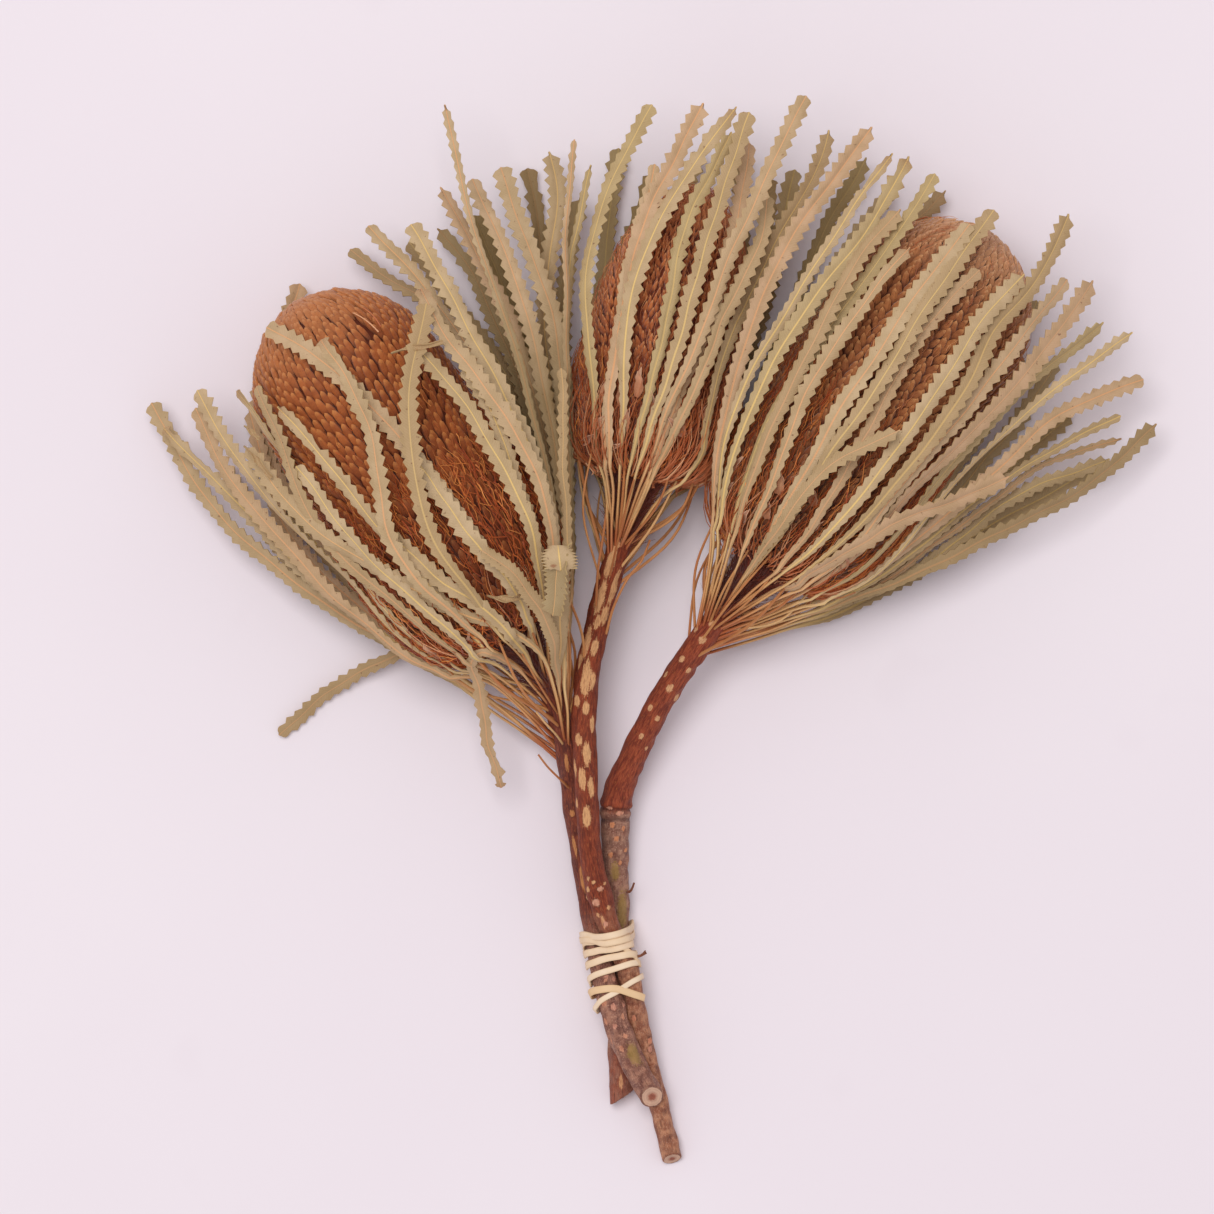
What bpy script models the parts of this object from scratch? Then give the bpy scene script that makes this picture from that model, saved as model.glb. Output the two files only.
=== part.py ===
# A tied bunch of three dried banksia flower heads, lying on a flat surface.
# Each head is a barrel of florets on a woody stem with a ruff of long saw-toothed leaves, and a flat
# elastic band holds the three stems together. Metres, +Z up, the heads towards +Y.

import math
import random

import bmesh
import bpy
import numpy as np

MM = 0.001

# Places in plan are given as photograph pixels, and this scale and origin turn them into metres.
PIXEL = 0.38 * MM
ORIGIN_PIXEL = (652.1, 633.1)
CURVE_STEPS = 24

# Flower heads. base and apex are pixels, and radius is that of the barrel between the florets.
# base_ratio is the base's radius as a share of the barrel's, shoulder and dome are where along the
# head the barrel starts and ends, and lobe is the exponent of the dome's outline.
HEADS = {
    "left": dict(
        base=(510, 632), apex=(295, 305), radius=36.6 * MM,
        base_ratio=0.42, shoulder=0.28, dome=0.73, lobe=2.0,
    ),
    "middle": dict(
        base=(637, 470), apex=(699, 187), radius=29.6 * MM,
        base_ratio=0.55, shoulder=0.26, dome=0.42, lobe=1.9,
    ),
    "right": dict(
        base=(765, 560), apex=(991, 236), radius=36.6 * MM,
        base_ratio=0.42, shoulder=0.28, dome=0.73, lobe=2.0,
    ),
}
# The florets stand FLORET_RISE out of the barrel in HEAD_RINGS staggered rings, lower near the base.
# EVEN_RINGS is the share of the ring spacing that stays even where the dome turns in. A head's lowest
# florets are pressed flat by REST_CUT, and so is the barrel where it is within FLAT_REACH of them.
HEAD_COLUMNS = 28
HEAD_RINGS = 18
EVEN_RINGS = 0.62
FLORET_RISE = 1.8 * MM
BASE_RELIEF = 0.32
RELIEF_GROWS = 0.125
REST_CUT = 0.9 * MM
FLAT_REACH = 1.1 * MM
SOCKET_RADIUS = 5.4 * MM
SOCKET_DEPTH = 14.0 * MM

# Woody stems, from the head down: pixel across, pixel down, height of the centre in mm, radius in mm.
# The first point is the head's base, and the flare under it is the woolly collar.
STEMS = {
    "left": [
        (510, 632, 36.4, 4.6), (531, 660, 33.0, 4.6), (553, 698, 27.0, 4.6), (564, 735, 21.5, 4.6),
        (570, 770, 17.0, 4.5), (575, 808, 14.0, 4.6), (581, 845, 12.2, 4.6), (588, 890, 11.4, 4.6),
        (595.5, 933, 11.6, 4.6), (602, 970, 14.5, 4.6), (613, 1013, 18.2, 4.7), (622, 1040, 18.2, 4.7),
        (635, 1069, 17.6, 4.7), (652, 1099, 17.0, 4.6),
    ],
    "middle": [
        (637, 470, 30.0, 4.8), (627, 515, 31.0, 4.7), (615, 560, 31.8, 4.6), (603, 600, 32.0, 4.5),
        (594, 640, 31.8, 4.6), (586.5, 680, 31.0, 4.7), (584, 720, 29.8, 4.7), (585, 760, 28.0, 4.6),
        (587, 800, 25.7, 4.4), (589.5, 845, 22.9, 4.3), (597, 887, 20.7, 4.4), (611, 933, 19.0, 4.2),
        (627.5, 970, 16.2, 4.2), (635, 1013, 13.5, 4.1), (641, 1040, 11.0, 4.0), (648.5, 1069, 8.8, 3.9),
        (657, 1100, 6.9, 3.8), (664.5, 1130, 5.6, 3.7), (672.5, 1163, 4.5, 3.8),
    ],
    "right": [
        (765, 560, 36.4, 4.8), (738, 592, 35.0, 4.9), (701, 641, 31.0, 5.0), (662, 700, 25.0, 4.9),
        (632, 760, 17.5, 5.2), (617, 800, 13.0, 5.8), (615.5, 850, 9.6, 4.9), (617, 900, 7.6, 4.7),
        (617.5, 933, 7.0, 4.6), (618.5, 970, 6.9, 4.5), (619, 1013, 6.7, 4.5), (620, 1050, 6.2, 4.6),
        (622, 1101, 5.4, 4.6),
    ],
}
STEM_SIDES = 8
STEM_TURN = 0.25
STEM_STEP = 10.0 * MM
COLLAR_LENGTH = 17.0 * MM
COLLAR_RADIUS = 11.0 * MM
COLLAR_FADE = 1.3
STEM_GAP = 0.6 * MM
# How far each cut end leans back, as a slope: towards its top, and towards its left side.
CUT_LEANS = {"left": (1.0, 0.0), "middle": (0.6, 0.0), "right": (0.0, -0.6)}

# Leaves that show from above, each as (how far below the head's base it grows in mm, its width as a
# share of the widest, its guides from the shoulder to the tip). A guide is (pixel across, pixel down,
# height in mm).
LEAVES = {
    "left": [
        (24, 1.0, [(484, 548, 76), (404, 443, 82), (334, 369, 80), (270, 330, 66)]),
        (28, 1.0, [(452, 612, 78), (392, 540, 88), (375, 440, 90), (352, 382, 86), (325, 343, 76)]),
        (30, 1.0, [(472, 594, 82), (426, 520, 92), (411, 415, 92), (414, 372, 90), (428, 308, 78)]),
        (34, 0.95, [(553, 548, 72), (534, 465, 80), (487, 390, 84), (446, 340, 80), (424, 292, 70)]),
        (30, 1.0, [(537, 548, 78), (503, 467, 86), (466, 403, 88), (423, 357, 82)]),
        (32, 0.8, [(538, 550, 70), (514, 473, 78), (493, 413, 80), (466, 372, 76)]),
        (34, 1.0, [(450, 606, 72), (380, 526, 80), (324, 458, 80), (282, 410, 66)]),
        (46, 0.9, [(452, 636, 58), (350, 565, 66), (301, 498, 66), (284, 430, 64), (266, 384, 56)]),
        (42, 0.9, [(452, 620, 66), (385, 575, 72), (340, 522, 74), (300, 468, 66)]),
        (50, 0.85, [(448, 640, 48), (340, 555, 56), (281, 445, 56), (238, 393, 46)]),
        (28, 1.0, [(520, 598, 74), (484, 553, 82), (441, 494, 86), (416, 460, 84)]),
        (32, 0.85, [(500, 620, 72), (450, 588, 80), (418, 558, 82), (394, 538, 78)]),
        (58, 1.0, [(541, 652, 56), (449, 607, 72), (380, 571, 72), (308, 522, 66), (247, 450, 52)]),
        (54, 1.0, [(460, 652, 44), (350, 580, 50), (280, 512, 50), (222, 437, 46), (197, 392, 38)]),
        (58, 1.0, [(470, 664, 40), (354, 613, 44), (293, 553, 44), (232, 481, 40), (194, 410, 32)]),
        (60, 0.9, [(452, 672, 28), (340, 605, 32), (258, 524, 30), (201, 468, 26), (163, 428, 20)]),
        (62, 1.0, [(470, 686, 24), (353, 622, 26), (255, 552, 22), (204, 498, 18), (149, 403, 12)]),
        (54, 0.85, [(470, 656, 20), (402, 652, 12), (340, 683, 5), (277, 735, 2.5)]),
        (40, 0.85, [(492, 644, 58), (476, 662, 52), (486, 730, 36), (500, 787, 24)]),
        (44, 0.9, [(556, 652, 62), (546, 620, 74), (518, 574, 86), (484, 553, 86)]),
        (36, 1.0, [(562, 540, 26), (490, 385, 32), (420, 309, 26), (350, 248, 16)]),
        (38, 1.0, [(564, 535, 44), (497, 392, 52), (426, 290, 46), (370, 226, 34)]),
        (36, 1.0, [(558, 545, 62), (514, 415, 70), (456, 305, 66), (411, 227, 50)]),
        (44, 0.95, [(564, 545, 20), (525, 400, 20), (474, 272, 16), (438, 229, 10)]),
        (42, 1.0, [(566, 545, 34), (533, 390, 38), (486, 270, 36), (442, 189, 26)]),
        (40, 0.5, [(562, 560, 58), (526, 385, 66), (480, 247, 64), (460, 177, 58), (447, 110, 52)]),
        (46, 1.0, [(567, 560, 46), (541, 370, 50), (504, 250, 48), (473, 180, 38)]),
        (48, 1.0, [(569, 560, 38), (559, 350, 42), (524, 235, 40), (501, 168, 32)]),
        (52, 1.0, [(570, 570, 28), (548, 360, 32), (547, 262, 30), (558, 207, 28), (550, 153, 20)]),
        (54, 0.4, [(570, 600, 44), (569, 368, 48), (567, 214, 48), (574, 141, 40)]),
        (56, 0.45, [(570, 600, 36), (571, 380, 40), (574, 240, 42), (596, 169, 38)]),
        (56, 1.0, [(570, 590, 20), (572, 380, 20), (576, 262, 18), (590, 198, 14)]),
        (60, 0.6, [(566, 680, 46), (564, 625, 54), (570, 520, 60), (571, 440, 60), (569, 371, 54)]),
    ],
    "middle": [
        (42, 0.95, [(602, 440, 50), (588, 345, 58), (586, 280, 60), (606, 193, 60), (652, 108, 52)]),
        (38, 0.8, [(609, 440, 54), (616, 340, 62), (636, 240, 64), (655, 168, 58)]),
        (40, 1.0, [(614, 440, 56), (619, 330, 62), (648, 215, 66), (701, 109, 58)]),
        (36, 1.0, [(622, 435, 60), (627, 320, 66), (658, 223, 68), (733, 112, 58)]),
        (34, 0.95, [(636, 440, 60), (661, 350, 64), (683, 235, 68), (729, 138, 60)]),
        (34, 1.0, [(647, 434, 62), (678, 350, 66), (709, 231, 70), (749, 117, 62)]),
        (38, 0.9, [(664, 432, 58), (705, 330, 62), (736, 230, 58), (748, 145, 48)]),
        (32, 1.0, [(656, 440, 62), (694, 350, 68), (741, 231, 72), (804, 101, 68)]),
        (40, 0.95, [(698, 436, 50), (765, 330, 52), (806, 250, 50), (827, 134, 42)]),
        (36, 0.9, [(674, 432, 62), (722, 335, 66), (760, 256, 62), (766, 197, 54)]),
    ],
    "right": [
        (46, 1.0, [(710, 560, 46), (715, 467, 54), (742, 350, 58), (784, 251, 60), (868, 132, 56)]),
        (44, 0.7, [(715, 545, 50), (724, 440, 58), (774, 330, 62), (836, 235, 60), (888, 157, 52)]),
        (40, 1.0, [(720, 545, 54), (742, 430, 64), (802, 315, 66), (868, 228, 66), (906, 162, 58)]),
        (42, 1.0, [(726, 548, 56), (762, 430, 70), (817, 345, 72), (888, 248, 70), (932, 177, 60)]),
        (38, 1.05, [(730, 545, 60), (758, 460, 72), (800, 365, 78), (855, 264, 76), (896, 215, 68)]),
        (34, 1.0, [(746, 545, 66), (776, 467, 78), (813, 377, 84), (861, 307, 82), (904, 253, 76)]),
        (32, 1.0, [(764, 542, 70), (818, 446, 82), (858, 380, 86), (921, 287, 82), (966, 228, 70)]),
        (30, 1.05, [(778, 536, 74), (830, 452, 84), (880, 380, 88), (931, 296, 84), (991, 214, 66)]),
        (34, 0.85, [(800, 542, 72), (860, 440, 82), (920, 335, 82), (974, 273, 74)]),
        (32, 1.1, [(808, 552, 74), (880, 470, 84), (940, 383, 88), (978, 322, 82), (1019, 280, 70)]),
        (36, 1.0, [(818, 562, 70), (905, 470, 78), (966, 387, 80), (990, 330, 76), (1032, 286, 66),
                   (1066, 219, 54)]),
        (38, 0.95, [(828, 568, 66), (920, 462, 74), (988, 380, 72), (1023, 335, 64), (1064, 281, 54)]),
        (38, 1.05, [(834, 574, 60), (915, 485, 68), (995, 408, 66), (1050, 342, 56), (1090, 284, 46)]),
        (40, 1.0, [(840, 580, 54), (940, 475, 58), (1023, 387, 52), (1100, 325, 42)]),
        (42, 0.65, [(845, 584, 48), (950, 485, 50), (1062, 382, 44), (1131, 336, 34)]),
        (42, 1.0, [(850, 590, 42), (950, 510, 44), (1016, 454, 40), (1061, 411, 36), (1144, 380, 26)]),
        (44, 0.5, [(852, 594, 36), (950, 522, 36), (1032, 461, 32), (1121, 416, 26)]),
        (44, 0.45, [(854, 598, 30), (950, 534, 30), (1040, 467, 26), (1120, 438, 20)]),
        (46, 0.75, [(856, 602, 26), (936, 557, 26), (1025, 491, 22), (1109, 460, 16)]),
        (46, 1.0, [(800, 620, 32), (900, 580, 32), (1007, 530, 28), (1087, 486, 26), (1157, 427, 20)]),
        (36, 1.05, [(812, 562, 62), (860, 534, 66), (936, 507, 66), (1004, 480, 58)]),
        (30, 0.85, [(776, 530, 80), (822, 470, 90), (892, 434, 92)]),
    ],
}
# The leaf that turns back over itself, given in the same way.
FOLDED_LEAF = (40, 1.1, [(560, 640, 60), (561, 580, 70), (561, 553, 82), (559, 566, 90), (557, 614, 84)])
# Lower leaves, in fans: a fan runs from a first leaf to a last one, and those between are blends.
FANS = {
    "left": [
        dict(count=3, roots=(44, 54), first=[(564, 590, 15), (520, 400, 10), (408, 240, 5)],
             last=[(566, 600, 13), (556, 370, 9), (528, 166, 5)]),
        dict(count=4, roots=(50, 60), first=[(408, 636, 13), (258, 440, 5), (297, 283, 9)],
             last=[(450, 682, 13), (315, 592, 7), (222, 468, 4)]),
    ],
    "middle": [
        dict(count=3, roots=(38, 44), first=[(600, 450, 14), (602, 300, 8), (617, 146, 6)],
             last=[(616, 434, 8), (640, 290, 5), (700, 150, 9)]),
        dict(count=3, roots=(38, 44), first=[(706, 440, 10), (738, 300, 9), (745, 150, 9)],
             last=[(706, 446, 9), (764, 305, 12), (795, 170, 26)]),
    ],
    "right": [
        dict(count=3, roots=(40, 44), first=[(744, 450, 12), (808, 270, 8), (862, 158, 14)],
             last=[(765, 440, 8), (850, 290, 5), (945, 190, 9)]),
        dict(count=4, roots=(40, 48), first=[(884, 552, 17), (990, 420, 8), (1040, 300, 8)],
             last=[(852, 608, 9), (985, 530, 4), (1108, 462, 3)]),
    ],
}
# A leaf between strays by up to LEAF_SHIFT pixels at its three guides and LEAF_HEIGHT_SHIFT mm in
# height, and may be shorter. Each leaf rolls by up to LEAF_ROLL radians towards its tip, and every
# third one lies in the same layer.
LEAF_SEED = 11
LEAF_SHIFT = (0, 4, 6)
LEAF_HEIGHT_SHIFT = 1.5
LEAF_SHORTER = 0.15
LEAF_ROLL = 0.3
LEAF_LAYERS = 3
LEAF_LAYER = 1.7 * MM
# How far a leaf keeps off the florets, off the plane of its head's base, and off the surface below.
LEAF_CLEAR = 1.2 * MM
BASE_CLEAR = 4.0 * MM
TABLE_CLEAR = 1.35 * MM
LINE_STEP = 3.0 * MM
ROOT_POINTS = 3
SETTLE_ROUNDS = (6, 4, 2, 0)
# A leaf within FLAT_NEAR of the florets lies flat on them, and one FLAT_FADE further away faces up.
FLAT_NEAR = 5.0 * MM
FLAT_FADE = 9.0 * MM
FACE_UP = 0.75
UPPER_PULL = 0.3
FOLD_START = 4
ROOT_ROLL = 0.2
FLAT_ROLL = 0.8
# The stalk takes PETIOLE_SHARE of a leaf, and its blade is widest from WIDEST_SHARE on.
PETIOLE_SHARE = 0.24
PETIOLE_RINGS = 3
PETIOLE_HALF = 0.9 * MM
PETIOLE_RISE = 1.5 * MM
WIDEST_SHARE = 0.78
BLADE_HALF = 4.3 * MM
BLADE_RISE = 0.9 * MM
BLADE_END = 0.62
# Each tooth leans forward: its notch is at its start, and its point TOOTH_LEAN of the way along it.
TOOTH_PAIRS = 7
TOOTH_LEAN = 0.76
SINUS_SHARE = 0.5

# Upright curtains that keep one head's leaves off the next head's: (pixel down, pixel across) up to
# CURTAIN_HEIGHT above the surface, and how many pixels each leans across for each 1 mm above that.
CURTAINS = {
    "left_middle": dict(
        line=[(100, 612), (150, 604), (250, 580), (350, 575), (450, 578), (560, 582), (660, 573)],
        lean=-0.2,
    ),
    "middle_right": dict(
        line=[(100, 886), (208, 826), (322, 770), (450, 736), (530, 696), (620, 668)],
        lean=-1.1,
    ),
}
CURTAIN_HEIGHT = 30 * MM
CURTAIN_GAP = 0.7 * MM

# The elastic band: a ring of tight turns at pixel BAND_TOP, and a strip that winds on from there
# down to BAND_BOTTOM and back up over itself.
BAND_WIDTH = 2.6 * MM
BAND_RING_WIDTH = 3.8 * MM
BAND_THICKNESS = 0.9 * MM
BAND_GAP = 0.75 * MM
BAND_TOP = 935
BAND_BOTTOM = 1004
BAND_TURNS = 4
BAND_STEPS = 14
BAND_START = 1.2 * math.pi
BAND_OVERLAP = 0.35 * MM


def place(across, down, height_mm):
    """The point that lies under a photograph pixel, at a height in mm."""
    return np.array([
        (across - ORIGIN_PIXEL[0]) * PIXEL, (ORIGIN_PIXEL[1] - down) * PIXEL, height_mm * MM,
    ])


def clear_scene():
    for thing in list(bpy.data.objects):
        bpy.data.objects.remove(thing, do_unlink=True)


def material(name, color, roughness):
    made = bpy.data.materials.new(name)
    made.use_nodes = True
    shader = made.node_tree.nodes["Principled BSDF"]
    shader.inputs["Base Color"].default_value = (*color, 1.0)
    shader.inputs["Roughness"].default_value = roughness
    shader.inputs["Metallic"].default_value = 0.0
    return made


def mesh_object(name, points, faces, finish):
    mesh = bpy.data.meshes.new(name)
    mesh.from_pydata([tuple(p) for p in points], [], faces)
    mesh.materials.append(finish)
    made = bpy.data.objects.new(name, mesh)
    bpy.context.scene.collection.objects.link(made)
    shell = bmesh.new()
    shell.from_mesh(mesh)
    bmesh.ops.recalc_face_normals(shell, faces=shell.faces)
    shell.to_mesh(mesh)
    shell.free()
    return made


def smooth_line(points, step):
    """Points every step or so along a Catmull-Rom curve through the given ones."""
    points = np.asarray(points, float)
    padded = np.vstack([2 * points[0] - points[1], points, 2 * points[-1] - points[-2]])
    dense = []
    for before, start, end, after in zip(padded, padded[1:], padded[2:], padded[3:]):
        for t in np.linspace(0, 1, CURVE_STEPS, endpoint=False):
            dense.append(0.5 * (
                2 * start + (end - before) * t + (2 * before - 5 * start + 4 * end - after) * t ** 2
                + (3 * start - before - 3 * end + after) * t ** 3
            ))
    dense = np.array(dense + [points[-1]])
    walked = np.concatenate([[0], np.cumsum(np.linalg.norm(np.diff(dense[:, :3], axis=0), axis=1))])
    wanted = np.linspace(0, walked[-1], max(3, round(walked[-1] / step) + 1))
    return np.column_stack([np.interp(wanted, walked, column) for column in dense.T])


def tangents(line):
    run = np.gradient(line, axis=0)
    return run / np.linalg.norm(run, axis=1)[:, None]


# Flower heads


def head_frame(head):
    """The middle of the base, the unit axis, and the length, of a head that lies level on its belly."""
    axis_height = (head["radius"] + FLORET_RISE - REST_CUT) / MM
    base = place(*head["base"], axis_height)
    apex = place(*head["apex"], axis_height)
    length = np.linalg.norm(apex - base)
    return base, (apex - base) / length, length


def head_radius(head, share):
    """Radius between the florets at a share of the length, as an array."""
    share = np.clip(share, 0, 1)
    rise = np.sqrt(np.clip(1 - (1 - share / head["shoulder"]) ** 2, 0, 1))
    low = np.where(share < head["shoulder"], head["base_ratio"] + (1 - head["base_ratio"]) * rise, 1)
    past = np.clip((share - head["dome"]) / (1 - head["dome"]), 0, 1)
    return head["radius"] * low * (1 - past ** head["lobe"]) ** (1 / head["lobe"])


def head_shares(head):
    """Where along the head the rings of florets lie, closer together where the dome turns in."""
    turn = np.linspace(0, 1, HEAD_RINGS)
    return EVEN_RINGS * turn + (1 - EVEN_RINGS) * np.sin(turn * math.pi / 2)


def build_head(side, finish):
    head = HEADS[side]
    base, axis, length = head_frame(head)
    across = np.cross(axis, [0, 0, 1])
    rings = [(SOCKET_DEPTH, SOCKET_RADIUS, 0), (0, SOCKET_RADIUS, 0)]
    for share in head_shares(head)[:-1]:
        rise = FLORET_RISE * min(1, BASE_RELIEF + share / RELIEF_GROWS)
        rings.append((share * length, head_radius(head, share), rise))
    points = [base + axis * SOCKET_DEPTH]
    for number, (along, radius, rise) in enumerate(rings):
        for column in range(HEAD_COLUMNS):
            turn = 2 * math.pi * column / HEAD_COLUMNS
            outward = across * math.cos(turn) + np.array([0, 0, math.sin(turn)])
            points.append(base + axis * along + outward * (radius + rise * ((column + number) % 2)))
    points.append(base + axis * length)
    for point in points:
        if point[2] < FLAT_REACH:
            point[2] = 0
    faces = []
    for number in range(len(rings) - 1):
        for column in range(HEAD_COLUMNS):
            a = 1 + number * HEAD_COLUMNS + column
            b = 1 + number * HEAD_COLUMNS + (column + 1) % HEAD_COLUMNS
            c, d = b + HEAD_COLUMNS, a + HEAD_COLUMNS
            # Each quad is split along the line between its two raised corners.
            if (column + number) % 2:
                faces += [(a, b, c), (a, c, d)]
            else:
                faces += [(a, b, d), (b, c, d)]
    last = 1 + (len(rings) - 1) * HEAD_COLUMNS
    for column in range(HEAD_COLUMNS):
        after = (column + 1) % HEAD_COLUMNS
        faces.append((0, 1 + after, 1 + column))
        faces.append((last + column, last + after, len(points) - 1))
    return mesh_object("cone_" + side, points, faces, finish)


# Stems


def stem_line(side):
    """Centre points and radius down a stem, from just inside its head to the cut end."""
    base, axis, _ = head_frame(HEADS[side])
    rows = [np.append(place(*point[:3]), point[3] * MM) for point in STEMS[side]]
    rows[0][:3] = base - axis * STEM_GAP
    return smooth_line(rows, STEM_STEP)


def build_stem(side, finish):
    base, axis, _ = head_frame(HEADS[side])
    line = stem_line(side)
    centres, radii = line[:, :3], line[:, 3].copy()
    below = np.concatenate([[0], np.cumsum(np.linalg.norm(np.diff(centres, axis=0), axis=1))])
    fade = np.clip(1 - below / COLLAR_LENGTH, 0, 1)
    radii += (COLLAR_RADIUS - radii) * fade ** COLLAR_FADE
    tip = [base + axis * (SOCKET_DEPTH - 2 * STEM_GAP), base - axis * (STEM_GAP - 0.001 * MM)]
    centres = np.vstack([tip, centres])
    radii = np.concatenate([[SOCKET_RADIUS - STEM_GAP] * 2, radii])
    run = tangents(centres)
    run[:3] = -axis
    points, faces = [], []
    for centre, radius, along in zip(centres, radii, run):
        side_way = np.cross(along, [0, 0, 1])
        side_way /= np.linalg.norm(side_way)
        up_way = np.cross(side_way, along)
        for step in range(STEM_SIDES):
            turn = 2 * math.pi * (step + STEM_TURN) / STEM_SIDES
            points.append(centre + radius * (side_way * math.cos(turn) + up_way * math.sin(turn)))
    lean_up, lean_left = CUT_LEANS[side]
    for number in range(len(points) - STEM_SIDES, len(points)):
        reach = points[number] - centres[-1]
        back = lean_up * (reach @ up_way) + lean_left * (reach @ side_way)
        points[number] = points[number] - run[-1] * back
    for ring in range(len(centres) - 1):
        for step in range(STEM_SIDES):
            a = ring * STEM_SIDES + step
            b = ring * STEM_SIDES + (step + 1) % STEM_SIDES
            faces.append((a, b, b + STEM_SIDES, a + STEM_SIDES))
    faces.append(tuple(range(STEM_SIDES)))
    faces.append(tuple(range(len(points) - STEM_SIDES, len(points))))
    return mesh_object("leafy_stem_" + side, points, faces, finish)


# Leaves


def curtain_across(name, down, height):
    """The pixel across of a curtain, at a pixel down and a height in metres."""
    curtain = CURTAINS[name]
    downs, acrosses = zip(*curtain["line"])
    above = np.maximum(height - CURTAIN_HEIGHT, 0) / MM
    return np.interp(down, downs, acrosses) + curtain["lean"] * above


def keep_between_curtains(side, line, half):
    """Bends a leaf sideways so that it stays on its own head's side of each curtain."""
    down = ORIGIN_PIXEL[1] - line[:, 1] / PIXEL
    room = half + CURTAIN_GAP
    if side in ("left", "middle"):
        name = "left_middle" if side == "left" else "middle_right"
        most = (curtain_across(name, down, line[:, 2]) - ORIGIN_PIXEL[0]) * PIXEL - room
        line[:, 0] = np.minimum(line[:, 0], most)
    if side in ("middle", "right"):
        name = "left_middle" if side == "middle" else "middle_right"
        least = (curtain_across(name, down, line[:, 2]) - ORIGIN_PIXEL[0]) * PIXEL + room
        line[:, 0] = np.maximum(line[:, 0], least)


def keep_off_head(head, line, edges, layer):
    """Pushes a leaf straight out from its head's axis wherever it would come too near the florets."""
    base, axis, length = head_frame(head)
    along = (line - base) @ axis
    outward = line - base - np.outer(along, axis)
    outward /= np.linalg.norm(outward, axis=1)[:, None]
    short = np.zeros(len(line))
    for sign in (-1, 0, 1):
        reach = line + sign * edges - base
        along = reach @ axis
        away = np.linalg.norm(reach - np.outer(along, axis), axis=1)
        beside = np.clip((along + BASE_CLEAR) / BASE_CLEAR, 0, 1) * (along < length + LEAF_CLEAR)
        share = np.clip(along / length, 0.02, 1)
        wanted = head_radius(head, share) + FLORET_RISE + LEAF_CLEAR + layer
        short = np.maximum(short, (wanted - away) * beside)
    line += outward * short[:, None]


def leaf_frames(head, line, roll, folded):
    """Unit side and upper directions along a leaf, which lies flat on its head and faces up elsewhere."""
    base, axis, length = head_frame(head)
    along = (line - base) @ axis
    outward = line - base - np.outer(along, axis)
    reach = np.linalg.norm(outward, axis=1)
    outward /= reach[:, None]
    gap = reach - head_radius(head, along / length)
    near = np.clip(1 - (gap - FLAT_NEAR) / FLAT_FADE, 0, 1) * ((along > 0) & (along < length))
    near *= np.clip(outward[:, 2] * 4, 0, 1)
    raised = FACE_UP * (1 - near)
    wished = outward * (1 - raised)[:, None] + np.outer(raised, [0, 0, 1])
    run = tangents(line)
    wished -= run * np.sum(wished * run, axis=1)[:, None]
    # The upper side is carried along from one station, so that it never flips in a steep bend.
    upper = np.zeros_like(line)
    start = FOLD_START if folded else len(line) // 2
    pull = 0 if folded else UPPER_PULL
    upper[start] = wished[start] / np.linalg.norm(wished[start])
    for order in (range(start + 1, len(line)), range(start - 1, -1, -1)):
        carried = upper[start]
        for station in order:
            carried = carried - run[station] * (carried @ run[station]) + pull * wished[station]
            carried = carried / np.linalg.norm(carried)
            upper[station] = carried
    side_way = np.cross(run, upper)
    turn = roll * (np.linspace(ROOT_ROLL, 1, len(line)) * (1 - FLAT_ROLL * near))[:, None]
    return side_way * np.cos(turn) + upper * np.sin(turn), upper * np.cos(turn) - side_way * np.sin(turn)


def settle(values, rounds):
    """Evens a leaf's line out and leaves its two ends alone."""
    for _ in range(rounds):
        values[1:-1] = (values[:-2] + 2 * values[1:-1] + values[2:]) / 4


def blended_leaves(fan, draw):
    """The leaves of a fan, each as (root depth in mm, width share, guides)."""
    for number in range(fan["count"]):
        blend = number / (fan["count"] - 1)
        between = 0 < blend < 1
        guides = []
        for shift, start, end in zip(LEAF_SHIFT, fan["first"], fan["last"]):
            strays = [draw.uniform(-most, most) * between for most in (shift, shift, LEAF_HEIGHT_SHIFT)]
            guides.append([a + (b - a) * blend + stray for a, b, stray in zip(start, end, strays)])
        shorter = between * draw.uniform(0, LEAF_SHORTER)
        guides[-1] = [tip + (middle - tip) * shorter for tip, middle in zip(guides[-1], guides[-2])]
        yield fan["roots"][0] * (1 - blend) + fan["roots"][1] * blend, 1, guides


def leaf_line(side, stem, leaf, layer, roll, folded):
    """The centre line of one leaf, bent clear of heads, curtains and the surface it lies on."""
    depth, width, guides = leaf
    walked = np.concatenate([[0], np.cumsum(np.linalg.norm(np.diff(stem[:, :3], axis=0), axis=1))])
    root = np.array([np.interp(depth * MM, walked, column) for column in stem[:, :3].T])
    line = smooth_line([root] + [place(*guide) for guide in guides], LINE_STEP)
    half = leaf_half(np.linspace(0, 1, len(line)), width)
    for rounds in SETTLE_ROUNDS:
        side_way, _ = leaf_frames(HEADS[side], line, roll, folded)
        edges = side_way * half[:, None]
        lowest = TABLE_CLEAR + np.abs(edges[:, 2]) + layer / LEAF_LAYERS
        line[ROOT_POINTS:, 2] = np.maximum(line[ROOT_POINTS:, 2], lowest[ROOT_POINTS:])
        keep_off_head(HEADS[side], line, edges, layer)
        keep_between_curtains(side, line, np.abs(edges[:, 0]))
        settle(line, 0 if folded else rounds)
    return line


def row_at(rows, share):
    """The row at a share of the way down a table of rows, between its neighbours."""
    own = np.linspace(0, 1, len(rows))
    return np.array([np.interp(share, own, column) for column in rows.T])


def leaf_half(share, width):
    """Half the width of a leaf to its tooth tips, at a share of its length: a stalk, then a long wedge."""
    grown = np.clip((share - PETIOLE_SHARE) / (WIDEST_SHARE - PETIOLE_SHARE), 0, 1)
    return PETIOLE_HALF + (BLADE_HALF * width - PETIOLE_HALF) * np.sin(grown * math.pi / 2)


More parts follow.
